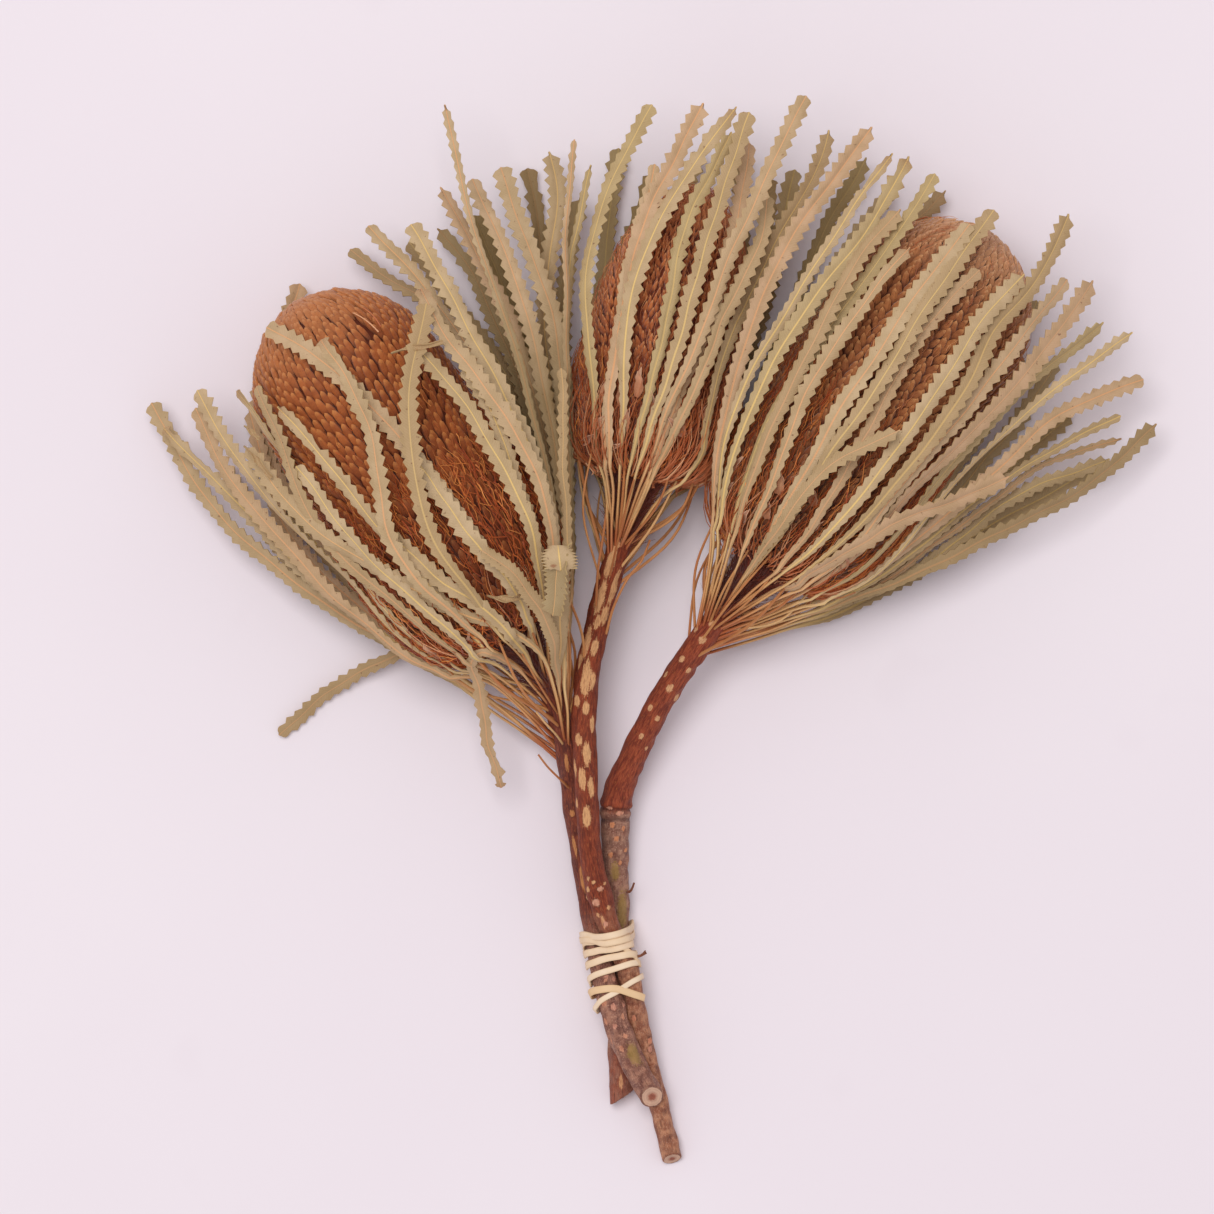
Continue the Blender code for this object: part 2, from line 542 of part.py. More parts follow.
def build_leaf(name, head, line, width, roll, folded, finish):
    """One leaf: a three-sided stalk that opens into a toothed blade with a raised midrib."""
    side_way, upper = leaf_frames(head, line, roll, folded)
    shares = [PETIOLE_SHARE * ring / PETIOLE_RINGS for ring in range(PETIOLE_RINGS)]
    widths = [PETIOLE_HALF] * PETIOLE_RINGS
    rises = [PETIOLE_RISE] * PETIOLE_RINGS
    pitch = (1 - PETIOLE_SHARE) / TOOTH_PAIRS
    for pair in range(TOOTH_PAIRS):
        start = PETIOLE_SHARE + pair * pitch
        for share, cut in ((start, SINUS_SHARE), (start + TOOTH_LEAN * pitch, 1)):
            shares.append(share)
            widths.append(max(PETIOLE_HALF, float(leaf_half(share, width)) * cut))
            rises.append(BLADE_RISE if pair else PETIOLE_RISE)
    shares.append(1)
    widths.append(BLADE_HALF * width * BLADE_END)
    rises.append(BLADE_RISE)
    points, faces = [], []
    for share, half, rise in zip(shares, widths, rises):
        centre, way, up = (row_at(rows, share) for rows in (line, side_way, upper))
        points += [centre - way * half, centre + way * half, centre + up * rise]
    for station in range(len(shares) - 1):
        left, right, rib = (3 * station + corner for corner in range(3))
        for a, b in ((left, rib), (rib, right), (right, left)):
            faces += [(a, b, b + 3), (a, b + 3, a + 3)]
    faces += [(0, 1, 2), (len(points) - 3, len(points) - 1, len(points) - 2)]
    return mesh_object(name, points, faces, finish)


def grow_leaves(side, stem_object, finish):
    """Grows every leaf of a stem and joins them to it in one body."""
    stem = stem_line(side)
    draw = random.Random(LEAF_SEED + len(side))
    leaves = LEAVES[side] + [leaf for fan in FANS[side] for leaf in blended_leaves(fan, draw)]
    if side == "left":
        leaves.append(FOLDED_LEAF)
    grown = bpy.data.collections.new("leaves_" + side)
    bpy.context.scene.collection.children.link(grown)
    for number, leaf in enumerate(leaves):
        folded = leaf is FOLDED_LEAF
        roll = draw.uniform(-LEAF_ROLL, LEAF_ROLL)
        line = leaf_line(side, stem, leaf, LEAF_LAYER * (number % LEAF_LAYERS), roll, folded)
        made = build_leaf(f"leaf_{side}_{number}", HEADS[side], line, leaf[1], roll, folded, finish)
        bpy.context.scene.collection.objects.unlink(made)
        grown.objects.link(made)
    join_collection(stem_object, grown)


def join_collection(body, grown):
    """Joins a collection's objects to a body by one Boolean union, then removes them."""
    union = body.modifiers.new("join", "BOOLEAN")
    union.operation = "UNION"
    union.operand_type = "COLLECTION"
    union.collection = grown
    union.solver = "MANIFOLD"
    bpy.context.view_layer.objects.active = body
    with bpy.context.temp_override(object=body, active_object=body):
        bpy.ops.object.modifier_apply(modifier=union.name)
    for thing in list(grown.objects):
        bpy.data.objects.remove(thing, do_unlink=True)
    bpy.data.collections.remove(grown)
    keep_outer_shell(body.data)


def keep_outer_shell(mesh):
    """Fills the specks of space that crossing leaves seal off, and drops loose scraps."""
    shape = bmesh.new()
    shape.from_mesh(mesh)
    waiting, shells = set(shape.verts), []
    while waiting:
        shell, edge_on = set(), [waiting.pop()]
        while edge_on:
            vert = edge_on.pop()
            shell.add(vert)
            beside = {edge.other_vert(vert) for edge in vert.link_edges} & waiting
            waiting -= beside
            edge_on += beside
        shells.append(shell)
    shells.sort(key=len)
    for shell in shells[:-1]:
        bmesh.ops.delete(shape, geom=list(shell), context="VERTS")
    shape.to_mesh(mesh)
    shape.free()


# Band


def stems_across(down):
    """Centre and radius of each stem where it passes a pixel down, and the mean direction of the stems."""
    wanted = place(0, down, 0)[1]
    circles, way = [], np.zeros(3)
    for side in STEMS:
        line = stem_line(side)
        rows = np.hstack([line, tangents(line[:, :3])])
        row = np.array([np.interp(-wanted, -line[:, 1], column) for column in rows.T])
        circles.append(row[:4])
        way += row[4:]
    return circles, way / np.linalg.norm(way)


def band_point(down, turn):
    """A point of the tight outline round the three stems, and the outward direction there."""
    circles, way = stems_across(down)
    out = np.array([math.cos(turn), 0, math.sin(turn)])
    out -= way * (out @ way)
    out /= np.linalg.norm(out)
    reach = [circle[:3] @ out + circle[3] for circle in circles]
    furthest = circles[int(np.argmax(reach))]
    return furthest[:3] + out * (furthest[3] + BAND_GAP), out, way


def build_strip(name, course, width, closed, finish):
    """A flat strip wound along a course of (pixel down, turn, lift off the stems)."""
    points, faces = [], []
    for down, turn, lift in course:
        point, out, way = band_point(down, turn)
        for aside, rise in ((-0.5, 0), (0.5, 0), (0.5, 1), (-0.5, 1)):
            points.append(point + way * width * aside + out * (BAND_THICKNESS * rise + lift))
    count = len(course)
    for station in range(count if closed else count - 1):
        here, after = 4 * station, 4 * ((station + 1) % count)
        for corner in range(4):
            beside = (corner + 1) % 4
            faces.append((here + corner, here + beside, after + beside, after + corner))
    if not closed:
        faces += [(0, 1, 2, 3), tuple(range(4 * count - 4, 4 * count))]
    return mesh_object(name, points, faces, finish)


def build_band(finish):
    ring = [(BAND_TOP, 2 * math.pi * step / BAND_STEPS, 0) for step in range(BAND_STEPS)]
    band = build_strip("tie_band", ring, BAND_RING_WIDTH, True, finish)
    winding = []
    steps = BAND_TURNS * BAND_STEPS
    for step in range(steps + 1):
        down = BAND_TOP + (BAND_BOTTOM - BAND_TOP) * math.sin(math.pi * step / steps)
        turn = BAND_START + 2 * math.pi * step / BAND_STEPS
        winding.append((down, turn, BAND_OVERLAP * (step > steps / 2)))
    strip = build_strip("winding", winding, BAND_WIDTH, False, finish)
    group = bpy.data.collections.new("winding")
    bpy.context.scene.collection.children.link(group)
    bpy.context.scene.collection.objects.unlink(strip)
    group.objects.link(strip)
    join_collection(band, group)


def main():
    clear_scene()
    leaf_green = material("dried_leaf", (0.55, 0.45, 0.26), 0.7)
    cone_browns = {
        "left": material("floret_orange", (0.42, 0.14, 0.04), 0.75),
        "middle": material("floret_rust", (0.34, 0.12, 0.05), 0.8),
        "right": material("floret_brown", (0.30, 0.13, 0.06), 0.8),
    }
    for side in HEADS:
        build_head(side, cone_browns[side])
        stem_object = build_stem(side, leaf_green)
        grow_leaves(side, stem_object, leaf_green)
    build_band(material("elastic", (0.80, 0.62, 0.40), 0.6))


main()
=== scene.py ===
import math
import random

import bpy
import numpy as np
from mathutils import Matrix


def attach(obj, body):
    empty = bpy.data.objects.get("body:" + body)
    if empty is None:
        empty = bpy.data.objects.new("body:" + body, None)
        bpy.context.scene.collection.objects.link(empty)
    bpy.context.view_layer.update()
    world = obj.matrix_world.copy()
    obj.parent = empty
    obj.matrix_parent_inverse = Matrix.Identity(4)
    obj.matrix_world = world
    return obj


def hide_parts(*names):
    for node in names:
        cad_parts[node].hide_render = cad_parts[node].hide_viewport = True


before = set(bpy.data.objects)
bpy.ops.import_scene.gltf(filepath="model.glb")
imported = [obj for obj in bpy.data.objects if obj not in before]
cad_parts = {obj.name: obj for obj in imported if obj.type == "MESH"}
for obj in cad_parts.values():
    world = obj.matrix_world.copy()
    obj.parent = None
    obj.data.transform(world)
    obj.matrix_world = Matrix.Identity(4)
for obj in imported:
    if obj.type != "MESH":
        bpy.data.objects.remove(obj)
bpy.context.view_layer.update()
print("frame loaded")

mm = 0.001
pixel = 0.38 * mm
originPixel = (652.1, 633.1)  # the photo pixel above the frame's origin
up = np.array([0.0, 0.0, 1.0])
sides = ("left", "middle", "right")


def place(across, down, height):
    return np.array([(across - originPixel[0]) * pixel, (originPixel[1] - down) * pixel, height * mm])


def unit(rows):
    return rows / np.linalg.norm(rows, axis=-1, keepdims=True)


def walked(line):
    return np.concatenate([[0], np.cumsum(np.linalg.norm(np.diff(line[:, :3], axis=0), axis=1))])


def rowsAt(rows, at, wanted):
    return np.column_stack([np.interp(wanted, at, column) for column in rows.T])


def tangents(line):
    return unit(np.gradient(line, axis=0))


def smooth(value, start, end):
    t = np.clip((value - start) / (end - start), 0, 1)
    return t * t * (3 - 2 * t)


# evenly spaced points on a curve through the given ones
def smoothLine(points, step):
    points = np.asarray(points, float)
    padded = np.vstack([2 * points[0] - points[1], points, 2 * points[-1] - points[-2]])
    dense = []
    for before, start, end, after in zip(padded, padded[1:], padded[2:], padded[3:]):
        for t in np.linspace(0, 1, 24, endpoint=False):
            dense.append(0.5 * (
                2 * start + (end - before) * t + (2 * before - 5 * start + 4 * end - after) * t ** 2
                + (3 * start - before - 3 * end + after) * t ** 3
            ))
    dense = np.array(dense + [points[-1]])
    along = walked(dense)
    return rowsAt(dense, along, np.linspace(0, along[-1], max(3, round(along[-1] / step) + 1)))


# materials

def linear(part):
    return part / 12.92 if part <= 0.04 else ((part + 0.055) / 1.055) ** 2.4


def tone(red, green, blue):
    return tuple(linear(part / 255) for part in (red, green, blue)) + (1.0,)


class Graph:
    def __init__(self, tree):
        self.tree = tree

    def node(self, kind, inputs=None, **settings):
        made = self.tree.nodes.new(kind)
        for key, value in settings.items():
            setattr(made, key, value)
        for key, value in (inputs or {}).items():
            self.feed(made, key, value)
        return made

    def feed(self, made, key, value):
        if isinstance(value, bpy.types.NodeSocket):
            self.tree.links.new(value, made.inputs[key])
        else:
            made.inputs[key].default_value = value

    def math(self, operation, first, second=0.0, clamp=False):
        made = self.node("ShaderNodeMath", {0: first, 1: second}, operation=operation, use_clamp=clamp)
        return made.outputs[0]

    def times(self, first, second):
        return self.math("MULTIPLY", first, second)

    def plus(self, first, second, clamp=False):
        return self.math("ADD", first, second, clamp)

    # a value moved up and down by a noise
    def shaken(self, value, noise, amount, clamp=False):
        return self.plus(value, self.times(self.math("SUBTRACT", noise, 0.5), amount), clamp)

    def mix(self, share, first, second):
        made = self.node("ShaderNodeMix", data_type="RGBA")
        for key, value in ((0, share), (6, first), (7, second)):
            self.feed(made, key, value)
        return made.outputs[2]

    def between(self, value, low, high, most=1.0):
        made = self.node("ShaderNodeMapRange", {0: value, 1: low, 2: high, 3: 0.0, 4: most})
        made.interpolation_type = "SMOOTHSTEP"
        return made.outputs[0]

    def noise(self, vector, scale, detail=3.0, rough=0.55):
        inputs = {"Vector": vector, "Scale": scale, "Detail": detail, "Roughness": rough}
        return self.node("ShaderNodeTexNoise", inputs).outputs["Fac"]

    # the sheet drawn out along its length, for streaks
    def drawnOut(self, sheet, share):
        return self.node("ShaderNodeMapping", {"Vector": sheet, "Scale": (1.0, share, 1.0)}).outputs[0]

    def colors(self, name):
        made = self.node("ShaderNodeAttribute", attribute_name=name)
        split = self.node("ShaderNodeSeparateColor", {0: made.outputs["Color"]})
        return list(split.outputs) + [made.outputs["Alpha"]]

    def sheet(self):
        return self.node("ShaderNodeUVMap", uv_map="UVMap").outputs[0]

    def group(self, tree, inputs):
        return self.node("ShaderNodeGroup", inputs, node_tree=tree).outputs


# a node group from which a colour and a height come out
def newGroup(name, inputs):
    tree = bpy.data.node_groups.new(name, "ShaderNodeTree")
    for label, value in inputs.items():
        kind = "Vector" if value is None else "Float" if isinstance(value, float) else "Color"
        socket = tree.interface.new_socket(label, in_out="INPUT", socket_type="NodeSocket" + kind)
        if value is not None:
            socket.default_value = value
    for label, kind in (("Color", "Color"), ("Height", "Float")):
        tree.interface.new_socket(label, in_out="OUTPUT", socket_type="NodeSocket" + kind)
    graph = Graph(tree)
    return graph, graph.node("NodeGroupInput").outputs, graph.node("NodeGroupOutput")


def makeMottle():
    graph, given, out = newGroup("mottle", {
        "Vector": None, "Color": tone(180, 160, 120), "Second": tone(120, 100, 70), "Speck": tone(80, 50, 30),
        "Scale": 60.0, "Spread": 0.5, "Speck Amount": 0.3,
    })
    broad = graph.noise(given["Vector"], given["Scale"])
    fine = graph.noise(given["Vector"], graph.times(given["Scale"], 9.0), 4.0, 0.65)
    share = graph.times(graph.between(broad, 0.36, 0.64), given["Spread"])
    color = graph.mix(share, given["Color"], given["Second"])
    speck = graph.noise(given["Vector"], graph.times(given["Scale"], 5.0), 2.0, 0.6)
    speckMask = graph.times(graph.between(speck, 0.66, 0.74), given["Speck Amount"])
    graph.feed(out, "Color", graph.mix(speckMask, color, given["Speck"]))
    graph.feed(out, "Height", graph.math("SUBTRACT", fine, speckMask))
    return graph.tree


# leaf colours by the sheet's own UVs in mm; leafTint holds age, hue, stalk, tooth edge, and the wear and
# shade attribute holds dry brown tips, painted olive shade on low and covered leaves, how far out from the
# midrib, and half the midrib's width in mm
def makeLeafSkin(mottle):
    graph, given, out = newGroup("leafSkin", {
        "Blade": tone(202, 174, 136), "Second Blade": tone(180, 149, 108), "Pink Blade": tone(202, 163, 128),
        "Green Blade": tone(190, 168, 116), "Rib": tone(232, 195, 122), "Pink Rib": tone(224, 168, 118),
        "Edge": tone(214, 186, 128), "Speck": tone(112, 66, 48),
    })
    sheet = graph.sheet()
    across, along, _ = graph.node("ShaderNodeSeparateXYZ", {0: sheet}).outputs
    age, hue, stalk, edge = graph.colors("leafTint")
    # olive is painted shade: low and covered leaves are turned darker olive
    dry, olive, outside, ribHalf = graph.colors("leafWearAndShade")
    blade = graph.mix(age, given["Blade"], given["Second Blade"])
    blade = graph.mix(graph.between(hue, 0.6, 0.95, 0.8), blade, given["Pink Blade"])
    blade = graph.mix(graph.between(hue, 0.24, 0.0, 0.5), blade, given["Green Blade"])
    spot = graph.group(mottle, {
        "Vector": sheet, "Color": blade, "Second": graph.mix(0.6, blade, tone(158, 130, 88)),
        "Speck": given["Speck"], "Scale": 0.11, "Spread": 0.6, "Speck Amount": 0.7,
    })
    # slanting side veins and a fine grain
    away = graph.math("ABSOLUTE", across)
    slant = graph.math("SUBTRACT", along, graph.times(away, 0.8))
    vein = graph.plus(slant, graph.times(graph.noise(sheet, 0.7), 1.4))
    veinMask = graph.between(graph.math("SINE", graph.times(vein, 5.4)), 0.1, 1.0, 0.12)
    color = graph.mix(veinMask, spot["Color"], tone(216, 194, 150))
    grain = graph.noise(sheet, 2.6, 3.0, 0.7)
    color = graph.mix(graph.between(grain, 0.56, 0.72, 0.28), color, tone(146, 118, 80))
    color = graph.mix(graph.between(outside, 0.75, 1.0, 0.22), color, tone(148, 122, 78))
    color = graph.mix(graph.between(edge, 0.7, 1.0, 0.25), color, given["Edge"])
    # midrib
    ribMask = graph.between(away, graph.times(ribHalf, 1.35), graph.times(ribHalf, 0.65))
    ribColor = graph.mix(graph.between(hue, 0.42, 0.6), given["Rib"], given["Pink Rib"])
    ribColor = graph.mix(graph.between(age, 0.55, 1.0, 0.45), ribColor, blade)
    color = graph.mix(graph.times(ribMask, 0.9), color, ribColor)
    # dry tips, painted olive shade on low and covered leaves, and the stalk
    brown = graph.mix(grain, tone(120, 72, 52), tone(186, 132, 92))
    color = graph.mix(graph.between(graph.shaken(dry, grain, 1.0), 0.35, 0.8, 0.85), color, brown)
    color = graph.mix(graph.times(olive, 0.8), color, tone(126, 104, 62))
    stalkColor = graph.mix(graph.between(stalk, 0.3, 0.65), tone(230, 192, 136), tone(218, 166, 108))
    stalkColor = graph.mix(graph.between(stalk, 0.7, 0.95), stalkColor, tone(172, 94, 54))
    stalkColor = graph.mix(graph.between(hue, 0.5, 0.8, 0.35), stalkColor, tone(220, 150, 104))
    color = graph.mix(graph.between(stalk, 0.0, 0.5), color, stalkColor)
    height = graph.plus(graph.times(ribMask, 1.6), graph.times(veinMask, 3.0))
    graph.feed(out, "Color", color)
    graph.feed(out, "Height", graph.plus(height, graph.times(spot["Height"], 0.5)))
    return graph.tree


# bark: streaks down the stem, pale scars, another lower part, olive patches and the cut wood;
# barkMarks holds scar, low, wood, wool, and barkPatch holds olive, ring of a scar, dark, pink; dark also
# carries painted shade in the grooves of the right stem's ring
def makeBarkSkin(mottle):
    graph, given, out = newGroup("barkSkin", {
        "Bark": tone(156, 70, 40), "Second Bark": tone(108, 42, 26), "Scar": tone(232, 176, 122),
        "Lower Bark": tone(124, 82, 66), "Second Lower": tone(92, 60, 56), "Low Scar": tone(172, 112, 82),
        "Wool": tone(140, 60, 38), "Olive": tone(168, 134, 70),
    })
    sheet = graph.sheet()
    scar, low, wood, wool = graph.colors("barkMarks")
    olive, ring, dark, pink = graph.colors("barkPatch")
    # red-brown upper bark
    drawn = graph.drawnOut(sheet, 0.12)
    streak = graph.noise(drawn, 1.4, 5.0, 0.62)
    blotch = graph.noise(sheet, 0.16, 3.0, 0.6)
    share = graph.shaken(graph.between(streak, 0.34, 0.66), blotch, 1.0, True)
    color = graph.mix(share, given["Bark"], given["Second Bark"])
    thread = graph.noise(drawn, 3.6, 2.0, 0.5)
    color = graph.mix(graph.between(thread, 0.56, 0.68, 0.55), color, tone(196, 110, 62))
    # greyer lower bark with flecks and stains
    lowSpot = graph.group(mottle, {
        "Vector": sheet, "Color": given["Lower Bark"], "Second": given["Second Lower"],
        "Speck": tone(176, 142, 122), "Scale": 0.3, "Spread": 0.9, "Speck Amount": 0.55,
    })
    lowMask = graph.times(graph.shaken(low, blotch, 1.2, True), graph.between(low, 0.0, 0.1))
    color = graph.mix(lowMask, color, lowSpot["Color"])
    crumb = graph.noise(sheet, 1.3, 4.0, 0.7)
    fleck = graph.between(graph.noise(sheet, 1.7, 4.0, 0.75), 0.53, 0.64, 0.7)
    color = graph.mix(graph.times(fleck, graph.between(low, 0.0, 1.0)), color, tone(220, 176, 148))
    stain = graph.between(graph.noise(sheet, 0.2, 3.0, 0.6), 0.48, 0.64, 0.5)
    color = graph.mix(graph.times(stain, graph.between(low, 0.1, 0.9)), color, tone(108, 58, 48))
    crack = graph.between(graph.noise(graph.drawnOut(sheet, 0.09), 2.0, 4.0), 0.56, 0.66, 0.4)
    color = graph.mix(crack, color, tone(74, 32, 26))
    # olive patches, darker areas (painted shade where they lie in the grooves of the right stem's ring), and
    # scars with a dark ring
    mossy = graph.shaken(graph.shaken(olive, blotch, 1.0), crumb, 1.6)
    color = graph.mix(graph.between(mossy, 0.3, 0.75, 0.75), color, given["Olive"])
    color = graph.mix(graph.times(dark, 0.6), color, tone(58, 34, 32))
    ragged = graph.shaken(graph.shaken(scar, streak, 1.3), crumb, 0.8)
    scarColor = graph.mix(low, given["Scar"], given["Low Scar"])
    scarColor = graph.mix(graph.between(pink, 0.2, 0.6, 0.8), scarColor, tone(222, 158, 134))
    scarColor = graph.mix(graph.between(thread, 0.45, 0.66, 0.5), scarColor, given["Bark"])
    color = graph.mix(graph.between(ragged, 0.38, 0.6), color, scarColor)
    color = graph.mix(graph.between(ring, 0.4, 0.85, 0.6), color, tone(96, 46, 36))
    color = graph.mix(wool, color, graph.mix(streak, given["Wool"], given["Second Bark"]))
    # cut wood with its rings and pith
    rings = graph.between(graph.math("SINE", graph.times(wood, 26.0)), 0.0, 1.0, 0.4)
    woodColor = graph.mix(rings, tone(238, 194, 164), tone(216, 164, 134))
    pith = graph.between(graph.shaken(wood, crumb, 0.5), 0.5, 0.8, 0.85)
    woodColor = graph.mix(pith, woodColor, tone(190, 96, 70))
    height = graph.plus(graph.times(streak, 1.4), lowSpot["Height"])
    graph.feed(out, "Color", graph.mix(graph.between(wood, 0.04, 0.2), color, woodColor))
    graph.feed(out, "Height", graph.plus(height, graph.math("SUBTRACT", crumb, crack)))
    return graph.tree


# florets: darker at the root, painted shade for the gaps between them, lighter at the free end, a painted
# highlight, and paler towards the top of the head
def makeFloretSkin():
    graph, given, out = newGroup("floretSkin", {
        "Root": tone(94, 36, 12), "Body": tone(174, 94, 40), "End": tone(198, 124, 62),
        "Crown": tone(204, 136, 82), "Other": tone(142, 70, 26),
    })
    where = graph.node("ShaderNodeTexCoord").outputs["Object"]
    own, tip, zone, _ = graph.colors("floretTint")
    fine = graph.noise(where, 1500.0, 3.0, 0.6)
    patch = graph.noise(where, 90.0, 2.0)
    body = graph.mix(graph.times(own, 0.75), given["Body"], given["Other"])
    body = graph.mix(graph.between(patch, 0.4, 0.75), body, given["Other"])
    end = graph.mix(graph.between(zone, 0.7, 1.0), given["End"], given["Crown"])
    # painted shade at each floret's root and a painted highlight at its free end
    color = graph.mix(graph.between(tip, 0.1, 0.6), given["Root"], body)
    color = graph.mix(graph.between(tip, 0.7, 1.0), color, end)
    color = graph.mix(graph.between(zone, 0.78, 1.0, 0.55), color, given["Crown"])
    color = graph.mix(graph.between(fine, 0.5, 0.75, 0.4), color, given["Root"])
    color = graph.mix(graph.between(zone, 0.5, 0.25, 0.55), color, given["Root"])
    graph.feed(out, "Color", color)
    graph.feed(out, "Height", fine)
    return graph.tree


def newMaterial(name):
    made = bpy.data.materials.new(name)
    made.use_nodes = True
    return made, Graph(made.node_tree), made.node_tree.nodes["Principled BSDF"]


def skinMaterial(name, tree, tones, bump, rough, sheen=0.0, deep=0.3):
    made, graph, shader = newMaterial(name)
    skin = graph.group(tree, {key: tone(*value) for key, value in tones.items()})
    graph.feed(shader, "Base Color", skin["Color"])
    raised = {"Height": skin["Height"], "Strength": bump, "Distance": deep * mm}
    graph.feed(shader, "Normal", graph.node("ShaderNodeBump", raised).outputs[0])
    span = {0: skin["Height"], 1: 0.0, 2: 1.0, 3: rough + 0.1, 4: rough - 0.06}
    graph.feed(shader, "Roughness", graph.node("ShaderNodeMapRange", span).outputs[0])
    shader.inputs["Sheen Weight"].default_value = sheen
    shader.inputs["Specular IOR Level"].default_value = 0.3
    return made


mottle = makeMottle()
leafSkin = makeLeafSkin(mottle)
barkSkin = makeBarkSkin(mottle)
floretSkin = makeFloretSkin()
leafFinishes = [
    skinMaterial("leafTop", leafSkin, {}, 0.5, 0.6),
    skinMaterial("leafUnder", leafSkin, {
        "Blade": (184, 160, 122), "Second Blade": (164, 140, 100), "Rib": (218, 180, 120),
    }, 0.6, 0.7),
    skinMaterial("leafEdge", leafSkin, {
        "Blade": (196, 170, 122), "Second Blade": (174, 146, 100),
    }, 0.3, 0.64),
]
barkTones = {
    "left": {
        "Bark": (142, 68, 46), "Second Bark": (90, 42, 34), "Scar": (208, 140, 84),
        "Lower Bark": (182, 128, 104), "Second Lower": (124, 78, 68), "Low Scar": (216, 150, 118),
    },
    "middle": {"Lower Bark": (204, 142, 106), "Second Lower": (156, 92, 66), "Low Scar": (222, 146, 112)},
    "right": {
        "Bark": (168, 80, 50), "Second Bark": (118, 46, 30), "Scar": (224, 172, 124),
        "Lower Bark": (184, 136, 112), "Second Lower": (134, 88, 74), "Low Scar": (220, 148, 104),
    },
}
barkRough = {"left": 0.6, "middle": 0.58, "right": 0.6}
barkFinishes = {
    side: skinMaterial("bark" + side.title(), barkSkin, barkTones[side], 0.85, barkRough[side], 0.0, 0.5)
    for side in sides
}
# tones of the root, body, free end, other ones and crown, then bump, roughness and sheen
floretLooks = {
    "floretLeft": ([], 0.5, 0.6, 0.15),
    "floretMiddle": (
        [(122, 52, 24), (208, 124, 68), (230, 162, 104), (172, 92, 46), (220, 152, 102)], 0.6, 0.7, 0.3),
    "floretRight": (
        [(92, 42, 20), (176, 110, 60), (202, 140, 86), (146, 84, 46), (214, 164, 120)], 0.5, 0.66, 0.2),
    "fibreOrange": (
        [(116, 46, 16), (208, 106, 40), (236, 150, 72), (162, 66, 24), (222, 140, 84)], 0.4, 0.52, 0.1),
    "fibreRust": (
        [(122, 52, 24), (208, 120, 66), (234, 164, 106), (168, 84, 44), (222, 154, 102)], 0.4, 0.6, 0.2),
    "fibrePink": (
        [(150, 70, 38), (214, 134, 90), (238, 182, 136), (196, 106, 62), (226, 170, 132)], 0.3, 0.5, 0.0),
    "bractPeach": (
        [(150, 84, 54), (200, 146, 108), (222, 174, 138), (180, 116, 80), (222, 174, 138)], 0.5, 0.7, 0.2),
    "stalkTan": (
        [(152, 82, 46), (212, 156, 98), (232, 192, 134), (194, 124, 74), (232, 192, 134)], 0.3, 0.5, 0.0),
    "woolRed": ([(104, 42, 28), (160, 76, 52), (194, 112, 80), (124, 54, 36)], 0.3, 0.7, 0.2),
    "twigBrown": ([(104, 58, 42), (168, 108, 78), (190, 134, 98), (136, 80, 58)], 0.5, 0.6, 0.0),
}
finishes = {}
for name, (tones, bump, rough, sheen) in floretLooks.items():
    tones = dict(zip(("Root", "Body", "End", "Other", "Crown"), tones))
    finishes[name] = skinMaterial(name, floretSkin, tones, bump, rough, sheen)
print("materials made")


# shared mesh work

# a sheet from rows of points, with its own UVs and colour attributes
def gridSheet(name, points, uvs, tints, skins):
    rows, columns = points.shape[:2]
    bpy.ops.object.select_all(action="DESELECT")
    bpy.ops.mesh.primitive_grid_add(x_subdivisions=columns - 1, y_subdivisions=rows - 1, size=2)
    sheet = bpy.context.object
    sheet.name = name
    mesh = sheet.data
    flat = np.empty(len(mesh.vertices) * 3, np.float32)
    mesh.vertices.foreach_get("co", flat)
    column = np.rint((flat[0::3] + 1) / 2 * (columns - 1)).astype(int)
    row = np.rint((flat[1::3] + 1) / 2 * (rows - 1)).astype(int)
    mesh.vertices.foreach_set("co", points[row, column].astype(np.float32).ravel())
    corners = np.empty(len(mesh.loops), np.int32)
    mesh.loops.foreach_get("vertex_index", corners)
    mesh.uv_layers.active.data.foreach_set("uv", uvs[row, column][corners].astype(np.float32).ravel())
    for tintName, values in tints.items():
        layer = mesh.color_attributes.new(tintName, "FLOAT_COLOR", "POINT")
        layer.data.foreach_set("color", values[row, column].astype(np.float32).ravel())
    for skin in skins:
        mesh.materials.append(skin)
    mesh.update()
    return sheet


def pick(piece):
    bpy.ops.object.select_all(action="DESELECT")
    piece.select_set(True)
    bpy.context.view_layer.objects.active = piece


def joined(name, parts):
    pick(parts[0])
    for part in parts[1:]:
        part.select_set(True)
    if len(parts) > 1:
        bpy.ops.object.join()
    parts[0].name = name
    return parts[0]


# nothing of a piece goes under the floor it lies on
def finishPiece(piece, node, slot):
    flat = np.empty(len(piece.data.vertices) * 3, np.float32)
    piece.data.vertices.foreach_get("co", flat)
    flat[2::3] = np.maximum(flat[2::3], 0.05 * mm)
    piece.data.vertices.foreach_set("co", flat)
    piece.data.update()
    pick(piece)
    bpy.ops.object.shade_smooth_by_angle(angle=math.radians(50))
    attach(piece, "root")
    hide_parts(node)


def closeSeams(piece):
    pick(piece)
    bpy.ops.object.mode_set(mode="EDIT")
    bpy.ops.mesh.select_all(action="SELECT")
    bpy.ops.mesh.remove_doubles(threshold=0.00001)
    bpy.ops.mesh.normals_make_consistent(inside=False)
    bpy.ops.object.mode_set(mode="OBJECT")


def thicken(piece, thickness, layers):
    pick(piece)
    bpy.ops.object.modifier_add(type="SOLIDIFY")
    solid = piece.modifiers[-1]
    solid.thickness = thickness
    if layers:
        solid.material_offset = 1
        solid.material_offset_rim = 2
    bpy.ops.object.modifier_apply(modifier=solid.name)


